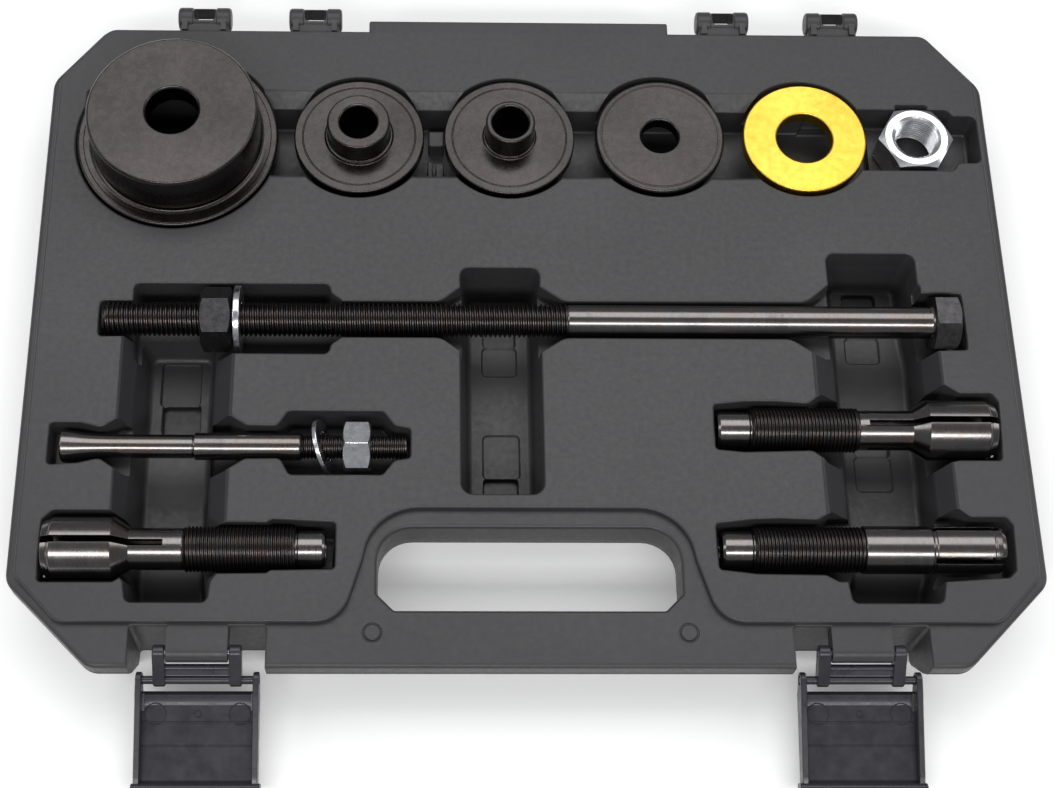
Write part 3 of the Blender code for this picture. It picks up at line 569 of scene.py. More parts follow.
LEFT_M = [(-157.6, -128.8, 3), (-128.2, -128.8, 3), (-128.4, -121, 4), (-128.9, -114, 5), (-128.9, -9, 4),
          (-161.8, -9, 4), (-161.6, -114, 5), (-158.4, -121, 4)]
LEFT_F = [(-156.6, -127.4, 3), (-129.6, -127.4, 3), (-130.2, -121, 4), (-131.2, -114, 5), (-131.2, -11.6, 4),
          (-158.6, -11.6, 4), (-158.4, -114, 5), (-157.4, -121, 4)]
cuts.append(channel(LEFT_D, LEFT_M, -11, LEFT_F, -30))

ROW_MAIN = [(-190.6, 61.5, 2), (127.5, 61.5, 2), (127.5, 98.6, 2), (-190.6, 98.6, 2)]
ROW_EDGE = [(-190.6, 61.5, 2), (127.5, 61.5, 2), (127.5, 105, 2), (-190.6, 105, 2)]
cuts.append(prism("row_main", [(-20, rounded(ROW_MAIN, 2, S, -2.6)), (-19.6, rounded(ROW_MAIN, 2, S, -1.8)), (-18.6, rounded(ROW_MAIN, 2, S, -1.2)), (-6.2, rounded(ROW_MAIN, 2, S, -0.15)),
                               (-5.4, rounded(ROW_MAIN, 2, S, 0.25)), (-0.8, rounded(ROW_EDGE, 2, S, -0.75)), (-0.25, rounded(ROW_EDGE, 2, S, 0)), (0, rounded(ROW_EDGE, 2, S, 0.8)), (3, rounded(ROW_EDGE, 2, S, 0.9))]))
ROW_SIDE = [(120, 66.4, 2), (189, 66.4, 3), (191, 70.4, 3), (201.4, 70.4, 3), (201.4, 94.6, 3), (191, 94.6, 3), (189, 97.8, 3), (120, 97.8, 2)]
cuts.append(pocket(ROW_SIDE, -14.8, 0.6))
cuts.append(pocket([(120, 66.8), (156.4, 66.8), (156.4, 97.2), (120, 97.2)], -20, 0.6, 1.5))
cuts.append(pocket([(165.6, 70), (180.4, 70), (180.4, 100.2), (165.6, 100.2)], -6, 0.5, 1.5))

cuts.append(round_pocket(-149.2, 80.0, 44.2, -9.35, n=160, rim=1.2))
DISC_X, POCKET_Y, POCKET_R = (-70.5, -5.2, 60.6), (81.8, 81.8, 83.0), 30.6
RING_X, RING_Y = 124.0, 82.4
FLOOR_D = 2.0 - 6.3 - 0.35
for dx, dy, dr in [(DISC_X[i], POCKET_Y[i], POCKET_R) for i in range(3)] + [(RING_X, RING_Y, 29.2)]:
    cuts.append(round_pocket(dx, dy, dr, FLOOR_D, fil=0.5, rim=0.8))
    a = math.acos(8.6 / dr)
    for s in (0, math.pi):
        moon = [Vector((dx + (dr - 0.3) * math.cos(s - a + 2 * a * k / 40), dy + (dr - 0.3) * math.sin(s - a + 2 * a * k / 40))) for k in range(41)]
        cuts.append(prism("moon", [(-14, moon), (-2, moon)]))

SLOT = [(-177.2, -15.2, 2), (-35, -15.2, 8), (-25.5, -22.5, 3), (5.5, -22.5, 3), (16.5, -15.2, 8), (111, -15.2, 8), (121, -22.0, 3),
        (168, -22.0, 3), (168, 12, 3), (130, 12, 3), (119, 2.4, 8), (16.5, 2.2, 8), (6, 9.5, 3), (-26, 9.5, 3), (-35, 2.0, 8), (-177.2, 1.6, 2)]
cuts.append(pocket(SLOT, -9.7, 0.5))
NUT_POCKET = [(-163.8, -22.9, 3), (-81.2, -22.9, 3), (-80.4, -18.5, 3), (-75.5, -14.8, 3), (-75.5, 1.4, 3), (-80.8, 5.5, 3), (-81.6, 9.8, 3), (-163.7, 9.7, 3)]
cuts.append(pocket(NUT_POCKET, -17.0, 0.7))
HEAD_POCKET = [(165, -20.6, 2), (184.9, -19.8, 1.5), (184.9, 6.6, 1.5), (165, 6.9, 2)]
cuts.append(pocket(HEAD_POCKET, -15.6, 0.5))
EXP_HEAD_POCKET = [(-193.6, -72.4, 2), (-181, -71.6, 4), (-172.5, -69.6, 4), (-165.5, -74.5, 2), (-158, -74.5, 1), (-158, -51, 1), (-165.5, -51, 2), (-172.5, -55.8, 4), (-181, -53.6, 4), (-193.6, -53.6, 2)]
EXP_POCKET = [(-130, -74.5, 1), (-121.5, -74.5, 2), (-114, -69.6, 4), (-100, -69.4, 3), (-96.3, -76.5, 3), (-58.3, -76.5, 3), (-53.6, -70.1, 3), (-47.0, -69.2, 2), (-47.0, -55.8, 2),
              (-53.7, -54.6, 3), (-58.4, -48.2, 3), (-97.3, -48.2, 3), (-101.5, -54.8, 3), (-114, -54.6, 4), (-121.5, -49.8, 2), (-130, -49.8, 1)]
cuts.append(pocket(EXP_HEAD_POCKET, -12.2, 0.6))
cuts.append(pocket(EXP_POCKET, -17.4, 0.7))
COLLET_A = [(-193.3, -121.6, 2), (-163.5, -121.6, 4), (-158, -118, 4), (-122, -118, 4), (-103.6, -117.8, 2), (-102, -116.6, 2), (-76.5, -116.2, 2),
            (-76.5, -96.2, 2), (-102, -95.0, 2), (-104.4, -96.4, 2), (-122, -96.2, 3), (-154, -95, 3), (-159, -91.3, 3), (-189.2, -91.3, 3), (-193.4, -95.5, 2)]
COLLET_B = [(76.2, -64.8, 2), (88, -66, 2), (102.7, -65.6, 2), (116, -65.2, 4), (122, -70, 3), (164, -72, 3), (176, -69.4, 4), (193.4, -69.4, 2),
            (194.8, -43, 2), (192.4, -39.2, 2), (179, -39.2, 3), (173, -35.2, 4), (164, -35.2, 3), (122, -39.0, 3), (116, -44.2, 4), (103, -43.2, 2), (89.7, -43.2, 2), (76.4, -44.6, 2)]
COLLET_C = [(74.6, -116, 2), (89.5, -117.8, 2), (117, -118.2, 4), (122, -121, 3), (164, -121, 3), (190.1, -119.2, 2), (193.2, -116, 2), (194.2, -97, 2),
            (191.7, -93.4, 2), (177.4, -93.4, 3), (172, -89.2, 4), (164, -89.2, 3), (122, -90.5, 3), (116, -94.8, 4), (101, -94.2, 2), (89.5, -94.6, 2), (74.2, -96.4, 2)]
cuts.append(pocket(COLLET_A, -18.5, 0.6))
cuts.append(pocket(COLLET_B, -18.5, 0.6))
cuts.append(pocket(COLLET_C, -15.6, 0.6))

HANDLE = [(-53.5, -132, 2), (53.5, -132, 2), (60.5, -125, 2), (60.5, -97.6, 14), (-60.5, -97.6, 14), (-60.5, -125, 2)]
hl = [(-41, rounded(HANDLE, 2, 8, 3.2)), (-24, rounded(HANDLE, 2, 8, 1.6)), (-22.4, rounded(HANDLE, 2, 8, 0.3)), (-20.5, rounded(HANDLE, 2, 8, -0.3)), (-14, rounded(HANDLE, 2, 8, -0.4))]
hl += [(-3 - 1.6 + rise, rounded(HANDLE, 2, 8, -0.15 + run)) for run, rise in arc(1.6, 6)]
hl += [(2, rounded(HANDLE, 2, 8, 1.5))]
cuts.append(prism("handle", hl))
RELIEF = [(-76, -170), (76, -170), (68, -86, 12), (-68, -86, 12)]
cuts.append(prism("relief", [(-41, rounded(RELIEF, 0, 6, 1.4)), (-27, rounded(RELIEF, 0, 6, -0.4)), (-24, rounded(RELIEF, 0, 6, -1.6)), (-23, rounded(RELIEF, 0, 6, -3.6))]))
LATCH_X = (-129.7, 129.7)
for lx in LATCH_X:
    rec = [(lx - 26.8, -175, 1), (lx + 26.8, -175, 1), (lx + 26.8, -138.2, 1.6), (lx - 26.8, -138.2, 1.6)]
    lv = [(-41, rounded(rec, 0, 5, 0)), (-4.2, rounded(rec, 0, 5, -0.2))] + [(-4.0 + rise, rounded(rec, 0, 5, -0.2 + run)) for run, rise in arc(1.0, 4)] + [(3, rounded(rec, 0, 5, 0.82))]
    cuts.append(prism("latch_recess", lv))
for kx in KNUCKLES:
    w = [(kx - 4.0, 143.3), (kx + 4.0, 143.3), (kx + 4.0, 148.4), (kx - 4.0, 148.4)]
    cuts.append(prism("window", [(-25, rounded(w, 0.6, 3, 0)), (-3, rounded(w, 0.6, 3, 0)), (-0.4, rounded(w, 0.6, 3, 0.9)), (3, rounded(w, 0.6, 3, 1.4))]))
for bx in (-61.8, 61.8):
    cuts.append(ring_groove(bx, -141, 3.75, -3.0, 0.7, 0.35))
# shallow and deep recesses in the channel floors
def floor_recess(x0, x1, y0, y1, depth, z=-30, r=2.0):
    pts = [(x0, y0, r), (x1, y0, r), (x1, y1, r), (x0, y1, r)]
    return prism("recess", [(z - depth, rounded(pts, 0, 4, -0.5)), (z - depth + 0.3, rounded(pts, 0, 4, -0.2)), (z - 0.35, rounded(pts, 0, 4, -0.05)), (z, rounded(pts, 0, 4, 0.3)), (z + 4, rounded(pts, 0, 4, 0.3))])


late_cuts = [floor_recess(-17.1, -2.1, -19.5, -6.0, 0.9), floor_recess(-16.6, -2.6, -6.4, 8.5, 3.4),
             floor_recess(-17.1, -1.5, -66.6, -46.8, 0.9), floor_recess(-17.0, -2.4, -84, -66.3, 3.4),
             floor_recess(140.6, 155.4, -12.7, -0.5, 0.9), floor_recess(141.2, 155.8, -1.0, 20.6, 3.0),
             floor_recess(139.8, 155.4, -71.8, -56, 0.9), floor_recess(140.4, 155.4, -56.4, -40, 3.0),
             floor_recess(-153.8, -136.8, -34.0, -13.4, 2.6), floor_recess(-152.6, -136.4, -47.2, -33.0, 5.4)]
# panels and ribs on the underside
BACK = [(-188, -70, 8), (188, -70, 8), (188, 108, 8), (172, 122, 8), (-172, 122, 8), (-188, 108, 8)]
cuts.append(prism("back_panel", [(-41, rounded(BACK, 0, 6, 1.4)), (-38, rounded(BACK, 0, 6, 0.6)), (-37.0, rounded(BACK, 0, 6, -0.5)), (-36.4, rounded(BACK, 0, 6, -1.6))]))
carve(case, cuts, "DIFFERENCE")
carve(case, late_cuts, "DIFFERENCE")

# posts and ledge in the gaps of the row channel, ribs underneath, latch lugs
late = [raised([(-40.2, 84.2), (-33.6, 84.2), (-33.6, 91.8), (-40.2, 91.8)], -22, -12.0, 0.8, 0.6),
        raised([(-40.6, 64), (-38.6, 64), (-38.6, 76.5), (-40.6, 76.5)], -22, -12.4, 0.5, 0.4),
        raised([(-37.0, 64), (-33.6, 64), (-33.6, 75.5), (-37.0, 75.5)], -22, -12.4, 0.5, 0.4)]
for ry in (-36, 2, 40, 78):
    late.append(raised([(-178, ry - 5), (178, ry - 5), (178, ry + 5), (-178, ry + 5)], -38.0, -36.0, 3, 0.3))
for lx in LATCH_X:
    prof = [(-134.5, -10.6), (-148.0, -10.6)]
    a0 = -90
    prof = [(-134.5, -10.7)] + [(-148.0 + 3.8 * math.cos(math.radians(t)), -6.8 + 3.8 * math.sin(math.radians(t))) for t in range(-90, -271, -12)] + [(-146.0, -3.02), (-134.5, -3.02)]
    bm = bmesh.new()
    loft(bm, [[(x, -6.8 * 0 + y * k + (1 - k) * -146, z * k + (1 - k) * -6.8) for y, z in prof] for x, k in ((lx - 12.0, 0.94), (lx - 11.6, 1.0), (lx + 11.6, 1.0), (lx + 12.0, 0.94))])
    late.append(obj_from("lug", bm))
carve(case, late, "UNION")
carve(case, [lathe_x("lug_bore", -148.0, -6.8, [(lx - 14, 1.75), (lx + 14, 1.75)], n=24) for lx in LATCH_X], "DIFFERENCE")
case.data.materials.clear()
case.data.materials.append(case_mat)
finish(case, 40)
piece(case, "root", "case_base")

# ======================================================================= latches
LEVER_SLOPE = math.radians(13.0)
PIN_Y, PIN_Z, ROD_Y, ROD_Z = -148.0, -6.8, -157.0, -13.8
for side, lx in zip(("left", "right"), LATCH_X):
    pin = lathe_x(f"latch_pin_{side}_steel", PIN_Y, PIN_Z, [(lx - 17.2, 1.0), (lx - 16.9, 1.4), (lx + 16.9, 1.4), (lx + 17.2, 1.0)], pin_mat, n=24)
    finish(pin, 35)
    piece(pin, "root", f"latch_pin_{side}")

    L = math.hypot(ROD_Y - PIN_Y, ROD_Z - PIN_Z)
    tilt = math.atan2(ROD_Z - PIN_Z, ROD_Y - PIN_Y)

    def along(s, h, t=tilt):
        return (PIN_Y + s * math.cos(t) - h * math.sin(t), PIN_Z + s * math.sin(t) + h * math.cos(t))

    link = lathe_x(f"latch_link_{side}_moulding", ROD_Y, ROD_Z, [(lx - 23.8, 1.2), (lx - 23.5, 1.62), (lx - 17.0, 1.62), (lx - 16.6, 1.62), (lx + 16.6, 1.62), (lx + 17.0, 1.62), (lx + 23.5, 1.62), (lx + 23.8, 1.2)], latch_mat, n=32)
    parts = []
    outline = [along(3.1 * math.cos(a), 3.1 * math.sin(a)) for a in (math.radians(90 + 180 * k / 16) for k in range(17))]
    outline += [along(L + 2.6 * math.cos(a), 2.6 * math.sin(a)) for a in (math.radians(-90 + 180 * k / 16) for k in range(17))]
    cyy, czz = along(L / 2, 0)
    for sgn in (-1, 1):
        x0, x1 = sorted((lx + sgn * 12.5, lx + sgn * 17.2))
        bm = bmesh.new()
        loft(bm, [[(x, cyy + (y - cyy) * k, czz + (z - czz) * k) for y, z in outline] for x, k in ((x0, 0.93), (x0 + 0.25, 0.98), (x0 + 0.6, 1.0), (x1 - 0.6, 1.0), (x1 - 0.25, 0.98), (x1, 0.93))])
        parts.append(obj_from("arm", bm))
        # a gusset from the cross bar out to the arm
    yb, zb = along(6.4, 0.3)
    parts.append(lathe_x("cross", yb, zb, [(lx - 14, 1.5), (lx + 14, 1.5)], n=24))
    for s_, h_ in ((4.4, 0.0),):
        yb2, zb2 = along(s_ + 4.3, -0.6)
        bm = bmesh.new()
        web = [along(6.0, 0.7), along(6.0, -1.0), along(9.0, -1.2), along(9.0, 0.0)]
        web = [web[0], web[1], web[2], web[3]]
        loft(bm, [[(x, y, z) for y, z in web] for x in (lx - 13.5, lx + 13.5)])
        parts.append(obj_from("web", bm))
    carve(link, parts, "UNION")
    carve(link, [lathe_x("bore", PIN_Y, PIN_Z, [(lx - 19, 1.75), (lx + 19, 1.75)], n=24)], "DIFFERENCE")
    link.data.materials.clear()
    link.data.materials.append(latch_mat)
    finish(link, 35)
    piece(link, f"latch_link_{side}", f"latch_link_{side}")

    def on_lever(s, h):
        return (ROD_Y - s * math.cos(LEVER_SLOPE) - h * math.sin(LEVER_SLOPE), ROD_Z - s * math.sin(LEVER_SLOPE) + h * math.cos(LEVER_SLOPE))

    def slab(name, profile, xs, mid=None):
        """Extrudes a lever-side profile; xs lists (x, scale about its middle)."""
        c = Vector((sum(p[0] for p in profile) / len(profile), sum(p[1] for p in profile) / len(profile)))
        bm = bmesh.new()
        loft(bm, [[(x, *on_lever(c.x + (s - c.x) * k if k >= 0.999 else s + (c.x - s) * 0 + (0.35 if s < c.x else -0.35), h + (0.35 if h < c.y else -0.35) * (0 if k >= 0.999 else 1))) for s, h in profile] for x, k in xs])
        return obj_from(name, bm)

    LH, LL = 24.0, 41.0
    tray = [(4.2, -3.6), (5.2, -4.6), (8.0, -5.4), (LL, -5.4), (LL, -3.2), (25.6, -3.2), (25.4, -3.42), (25.0, -3.42), (24.8, -3.2), (16.6, -3.2), (16.4, -3.42), (16.0, -3.42), (15.8, -3.2),
            (9.6, -3.2), (8.0, -2.8), (6.6, -2.2), (5.6, -1.8)]
    lever = slab(f"latch_lever_{side}_moulding", tray, [(lx - LH + 0.3, 1), (lx + LH - 0.3, 1)])
    ear = [(3.2 * math.cos(a), 3.2 * math.sin(a)) for a in (math.radians(90 + 180 * k / 14) for k in range(15))]
    wall = soft(ear + [(6.0, -5.4), (LL - 1, -5.4), (LL - 1, 0.2), (LL - 4, 0.8), (10.0, 2.6), (6.0, 3.2)], 0.5, 3)
    lip = soft([(LL - 1.5, -5.4), (LL + 3.0, -5.4), (LL + 4.6, -3.8), (LL + 4.6, -0.8), (LL + 3.2, 1.2), (LL - 0.4, 1.2), (LL - 1.5, 0)], 1.2, 4)
    parts = []
    for sgn in (-1, 1):
        x0, x1 = sorted((lx + sgn * (LH - 2.4), lx + sgn * LH))
        parts.append(slab("wall", wall, [(x0, 0.9), (x0 + 0.3, 1), (x1 - 0.3, 1), (x1, 0.9)]))
        parts.append(slab("rib", soft([(30, -5.3), (LL, -5.3), (LL, -1.0), (LL - 1.5, -0.6), (31, -2.8)], 0.4, 2), [(lx + sgn * 19.0 - 0.7, 1), (lx + sgn * 19.0 + 0.7, 1)]) if False else slab("wall2", soft([(5.0, -5.2), (12, -5.2), (12, -2.6), (5.0, -1.6)], 0.3, 2), [(x0 - 0.8 * (sgn > 0), 1), (x1 + 0.8 * (sgn < 0), 1)]))
    parts.append(slab("lip", lip, [(lx - LH - 1.0, 0.9), (lx - LH - 0.6, 1), (lx + LH + 0.6, 1), (lx + LH + 1.0, 0.9)]))
    carve(lever, parts, "UNION")
    marks = []
    for mx, r in ((-16.5, 4.2), (16.5, 4.2), (0.0, 1.3)):
        cy_, cz_ = on_lever(13.0, -3.2)
        ring = ring_groove(0, 0, r, 0, 0.45, 0.16, 40, 0.6)
        ring.data.transform(Matrix.Translation(P(lx + mx, cy_, cz_)) @ Matrix.Rotation(LEVER_SLOPE, 4, "X") @ Matrix.Translation(-P(0, 0, 0)))
        marks.append(ring)
    marks.append(lathe_x("lever_bore", ROD_Y, ROD_Z, [(lx - 30, 2.0), (lx + 30, 2.0)], n=24))
    carve(lever, marks, "DIFFERENCE")
    lever.data.materials.clear()
    lever.data.materials.append(latch_mat)
    finish(lever, 35)
    piece(lever, f"latch_lever_{side}", f"latch_lever_{side}")

# ======================================================================= discs and cup
TOP, BOT = 2.0, 2.0 - 6.3


def dense(profile):
    return soft(profile, 0.4, 3)


cup = spin("receiver_cup_turned", -149.2, 80.0, dense([(30.0, -9.0), (42.6, -9.0), (43.5, -8.1), (43.5, 0.2), (43.1, 0.7), (42.5, 1.0), (40.6, 1.0), (40.4, 0.8), (38.2, 0.8), (37.4, 1.0), (36.5, 1.5),
                                                        (36.5, 21.9), (35.5, 23.0), (12.0, 23.0), (11.0, 22.0), (11.0, 13.0), (30.0, 13.0)]), face_mat, n=160)
finish(cup, 30)
piece(cup, "receiver_cup", "receiver_cup")

d1 = spin("disc_large_collar_turned", -70.5, 80.7,
          dense([(7.8, BOT), (27.6, BOT), (28.2, BOT + 0.6), (28.2, TOP - 0.5), (27.7, TOP), (24.75, TOP), (24.55, TOP - 0.3), (24.25, TOP - 0.3), (24.05, TOP), (15.0, TOP), (14.6, TOP + 0.5), (14.5, TOP + 1.1),
                 (13.5, TOP + 1.25), (13.5, TOP + 11.3), (12.8, TOP + 12), (8.7, TOP + 12), (7.8, TOP + 11.1)]), face_mat, n=128)
finish(d1, 30)
piece(d1, "driver_disc_large_collar", "driver_disc_large_collar")
d2 = spin("disc_small_collar_turned", -5.2, 80.7,
          dense([(7.6, BOT), (27.8, BOT), (28.4, BOT + 0.6), (28.4, TOP - 0.5), (27.9, TOP), (25.15, TOP), (24.95, TOP - 0.3), (24.65, TOP - 0.3), (24.45, TOP), (11.8, TOP), (11.4, TOP + 0.4), (11.3, TOP + 0.9),
                 (10.6, TOP + 1.05), (10.6, TOP + 11.9), (9.9, TOP + 12.6), (8.5, TOP + 12.6), (7.6, TOP + 11.7)]), face_mat, n=128)
finish(d2, 30)
piece(d2, "driver_disc_small_collar", "driver_disc_small_collar")
d3 = spin("driver_plate_turned", 60.6, 81.9,
          dense([(8.0, BOT), (27.6, BOT), (28.2, BOT + 0.6), (28.2, TOP - 0.8), (27.4, TOP), (25.9, TOP), (25.7, TOP - 0.12), (25.3, TOP - 0.12), (25.1, TOP), (8.8, TOP), (8.0, TOP - 0.8)]), face_mat, n=128)
finish(d3, 30)
piece(d3, "driver_plate_flat", "driver_plate_flat")
ring = spin("thrust_ring_turned", 124.0, 81.4,
            dense([(12.2, BOT), (26.4, BOT), (26.9, BOT + 0.5), (26.9, TOP - 0.5), (26.4, TOP), (12.8, TOP), (12.2, TOP - 0.6)]), yellow_mat, n=128)
finish(ring, 30)
piece(ring, "thrust_ring", "thrust_ring")


# ======================================================================= nuts, bolts, collets
def hexagon(name, cy, cz, x0, x1, af, phase, mat=None):
    pts = [(cy + af / 2 / math.cos(math.pi / 6) * math.cos(phase + k * math.pi / 3), cz + af / 2 / math.cos(math.pi / 6) * math.sin(phase + k * math.pi / 3)) for k in range(6)]
    bm = bmesh.new()
    loft(bm, [[(x, y, z) for y, z in pts] for x in (x0, x1)])
    return obj_from(name, bm, mat)


def chamfer_hex(name, cy, cz, x0, x1, af, phase, mat, c0=True, c1=True):
    """Hexagon along X whose corners are turned off at 30 degrees."""
    o = hexagon(name, cy, cz, x0, x1, af, phase, mat)
    rc = af / 2 / math.cos(math.pi / 6) + 0.4
    rf = af / 2 * 0.955
    drop = (rc - rf) * math.tan(math.radians(30))
    st = []
    st += [(x0, rf), (x0 + drop, rc)] if c0 else [(x0, rc)]
    st += [(x1 - drop, rc), (x1, rf)] if c1 else [(x1, rc)]
    carve(o, [lathe_x("cone", cy, cz, st, n=96)], "INTERSECT")
    return o


def join(name, parts, mat):
    """Joins closed solids into one object."""
    bm = bmesh.new()
    for p in parts:
        tmp = bmesh.new()
        tmp.from_mesh(p.data)
        me = bpy.data.meshes.new("tmp")
        tmp.to_mesh(me)
        bm.from_mesh(me)
        tmp.free()
        bpy.data.meshes.remove(me)
        d = p.data
        bpy.data.objects.remove(p)
        bpy.data.meshes.remove(d)
    me = bpy.data.meshes.new(name)
    bm.to_mesh(me)
    bm.free()
    o = bpy.data.objects.new(name, me)
    bpy.context.scene.collection.objects.link(o)
    me.materials.append(mat)
    return o


def threaded(name, cy, cz, x0, x1, r, pitch, depth, mat, n=36, cham0=0.0, cham1=0.0):
    bm = bmesh.new()
    thread(bm, cy, cz, x0, x1, r, pitch, depth, n, 1, cham0, cham1)
    seal(bm)
    return obj_from(name, bm, mat, dist=1e-7)


# long bolt: thread and shank are two pieces of one bolt
BY, BZ = -6.4, -2.2
bolt_thread = threaded("long_bolt_thread", BY, BZ, -175.5, 17.6, 7.0, 2.0, 1.05, thread_mat, 40, cham0=1.2)
finish(bolt_thread, 50, weighted=False)
piece(bolt_thread, "long_bolt", None)
shank = lathe_x("long_bolt_shank", BY, BZ, [(14.0, 4.0), (14.0, 5.85), (16.6, 5.9), (18.2, 6.7), (18.6, 6.75), (169.6, 6.75), (170.4, 6.95), (171.2, 7.6), (171.2, 2.0)], turn_mat, n=72)
finish(shank, 30)
piece(shank, "long_bolt", "long_bolt")
head = chamfer_hex("long_bolt_head", BY, BZ, 171.0, 181.6, 21.6, math.radians(56), forged_mat, c0=False)
carve(head, [lathe_x("dish", BY, BZ, [(181.1, 6.6), (181.3, 8.2), (182.5, 9.0)], n=48)], "DIFFERENCE")
finish(head, 30, bevel=0.22)
piece(head, "long_bolt", None)

nut = chamfer_hex("long_bolt_nut_hex", BY, BZ, -134.6, -121.6, 24.0, math.radians(17), forged_mat)
carve(nut, [lathe_x("bore", BY, BZ, [(-136, 8.4), (-134.6, 8.2), (-133.6, 7.2), (-122.6, 7.2), (-121.6, 8.2), (-120, 8.4)], n=64)], "DIFFERENCE")
finish(nut, 30, bevel=0.22)
piece(nut, "long_bolt_nut", "long_bolt_nut")


def washer(name, cy, cz, x, t, r, bore, mat):
    prof = soft([(x, bore), (x, r), (x + t, r), (x + t, bore)], 0.35, 3)
    bm = bmesh.new()
    n = 72
    loft(bm, [[(a, cy + b * math.cos(2 * math.pi * k / n), cz + b * math.sin(2 * math.pi * k / n)) for k in range(n)] for a, b in prof], loop=True)
    return obj_from(name, bm, mat)


w1 = washer("long_bolt_washer_zinc", BY, BZ, -120.6, 2.6, 14.2, 7.6, zinc_mat)
finish(w1, 35)
piece(w1, "long_bolt_washer", "long_bolt_washer")

# expander
EY, EZ = -62.4, -5.0
rod = lathe_x("expander_rod_turned", EY, EZ, soft([(-188.8, 1.5), (-188.8, 6.0), (-188.2, 6.7), (-186.5, 6.55), (-183, 6.1), (-180, 5.6), (-176.5, 5.2), (-173, 4.98), (-168, 4.85), (-135.5, 4.85), (-135.3, 4.5), (-134.9, 4.5),
                                                   (-134.7, 5.55), (-134.2, 5.6), (-92.4, 5.6), (-91.6, 5.2), (-91.0, 4.2), (-90.0, 4.1), (-90.0, 1.5)], 0.3, 3), turn_mat, n=64)
finish(rod, 30)
piece(rod, "expander_rod", "expander_rod")
ethread = threaded("expander_thread", EY, EZ, -91.4, -48.8, 5.0, 1.5, 0.8, thread_mat, 36, cham0=0.6, cham1=0.9)
finish(ethread, 50, weighted=False)
piece(ethread, "expander_rod", None)
enut = chamfer_hex("expander_nut_hex", EY, EZ, -74.6, -63.4, 19.0, math.radians(43), zinc_mat)
carve(enut, [lathe_x("bore", EY, EZ, [(-76, 6.4), (-74.6, 6.2), (-73.8, 5.3), (-64.2, 5.3), (-63.4, 6.2), (-62, 6.4)], n=48)], "DIFFERENCE")
finish(enut, 30, bevel=0.2)
piece(enut, "expander_nut", "expander_nut")
w2 = washer("expander_washer_zinc", EY, EZ, -83.5, 1.8, 11.6, 6.4, zinc_mat)
pv = P(-82.6, EY, EZ)
w2.data.transform(Matrix.Translation(pv) @ Matrix.Rotation(math.radians(9), 4, "Z") @ Matrix.Rotation(-math.radians(17), 4, "Y") @ Matrix.Translation(-pv))
finish(w2, 35)
piece(w2, "expander_washer", "expander_washer")

# collet nut: stands on end
bm = bmesh.new()
NX, NY, NAF, NT, NB = 173.4, 82.2, 28.6, 1.6, -14.4
hexpts = [(NX + NAF / 2 / math.cos(math.pi / 6) * math.cos(k * math.pi / 3 + math.radians(30) * 0), NY + NAF / 2 / math.cos(math.pi / 6) * math.sin(k * math.pi / 3)) for k in range(6)]
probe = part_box("collet_nut")
flat_x = (probe[1].x - probe[0].x) < (probe[1].y - probe[0].y)
if flat_x:
    hexpts = [(NX + NAF / 2 / math.cos(math.pi / 6) * math.cos(k * math.pi / 3 + math.pi / 6), NY + NAF / 2 / math.cos(math.pi / 6) * math.sin(k * math.pi / 3 + math.pi / 6)) for k in range(6)]
loft(bm, [[(x, y, z) for x, y in hexpts] for z in (NB, NT)])
cnut = obj_from("collet_nut_hex", bm, zinc_mat)
rc, rf = NAF / 2 / math.cos(math.pi / 6) + 0.4, NAF / 2 * 0.955
dr_ = (rc - rf) * math.tan(math.radians(30))
carve(cnut, [spin("cone", NX, NY, [(rf, NB), (rc, NB + dr_), (rc, NT - dr_), (rf, NT)], None, n=128, loop=False)], "INTERSECT")
inner = threaded("inner_thread", 0, 0, -12, 12, 10.0, 1.5, 0.95, None, 48)
inner.data.transform(Matrix.Translation(P(NX, NY, (NT + NB) / 2) - Vector((0, 0, 0))) @ Matrix.Rotation(math.pi / 2, 4, "Y") @ Matrix.Translation(-P(0, 0, 0)))
carve(cnut, [inner], "DIFFERENCE")
carve(cnut, [spin("mouth", NX, NY, [(9.0, NT - 1.2), (10.9, NT + 0.02), (11.4, NT + 1)], None, n=64, loop=False), spin("mouth", NX, NY, [(11.4, NB - 1), (10.9, NB - 0.02), (9.0, NB + 1.2)], None, n=64, loop=False)], "DIFFERENCE")
finish(cnut, 30, bevel=0.0)
piece(cnut, "collet_nut", "collet_nut")


def collet(node, cy, outer, bore_prof, slot_x, head_x, thread_span, tr, pitch, angle, stub):
    """Slit collet: turned body with its bore, a real thread in the middle and a plain stub end."""
    cz = -5.3
    body = lathe_x(node + "_turned", cy, cz, soft(outer + bore_prof, 0.3, 3), turn_mat, n=72, loop=True)
    lo, hi = sorted((slot_x, head_x + (4 if head_x > slot_x else -4)))
    slits = []
    for k in range(2):
        pts = [(lo, cy - 16, 0.7 if lo == slot_x else 0), (hi, cy - 16), (hi, cy + 16), (lo, cy + 16)]
        s = prism("slit", [(cz - 1.4, rounded([(a[0], a[1]) for a in pts])), (cz + 1.4, rounded([(a[0], a[1]) for a in pts]))])
        c = P(0, cy, cz)
        s.data.transform(Matrix.Translation(c) @ Matrix.Rotation(angle + k * math.pi / 2, 4, "X") @ Matrix.Translation(-c))
        slits.append(s)
    carve(body, slits, "DIFFERENCE")
    finish(body, 30, bevel=0.12)
    piece(body, node, node)
    t = threaded(node + "_thread", cy, cz, thread_span[0], thread_span[1], tr, pitch, 0.85, thread_mat, 48, cham0=0.7, cham1=0.7)
    carve(t, [lathe_x("tbore", cy, cz, [(thread_span[0] - 2, 7.0), (thread_span[1] + 2, 7.0)], n=48)], "DIFFERENCE")
    finish(t, 50, weighted=False)
    piece(t, node, None)


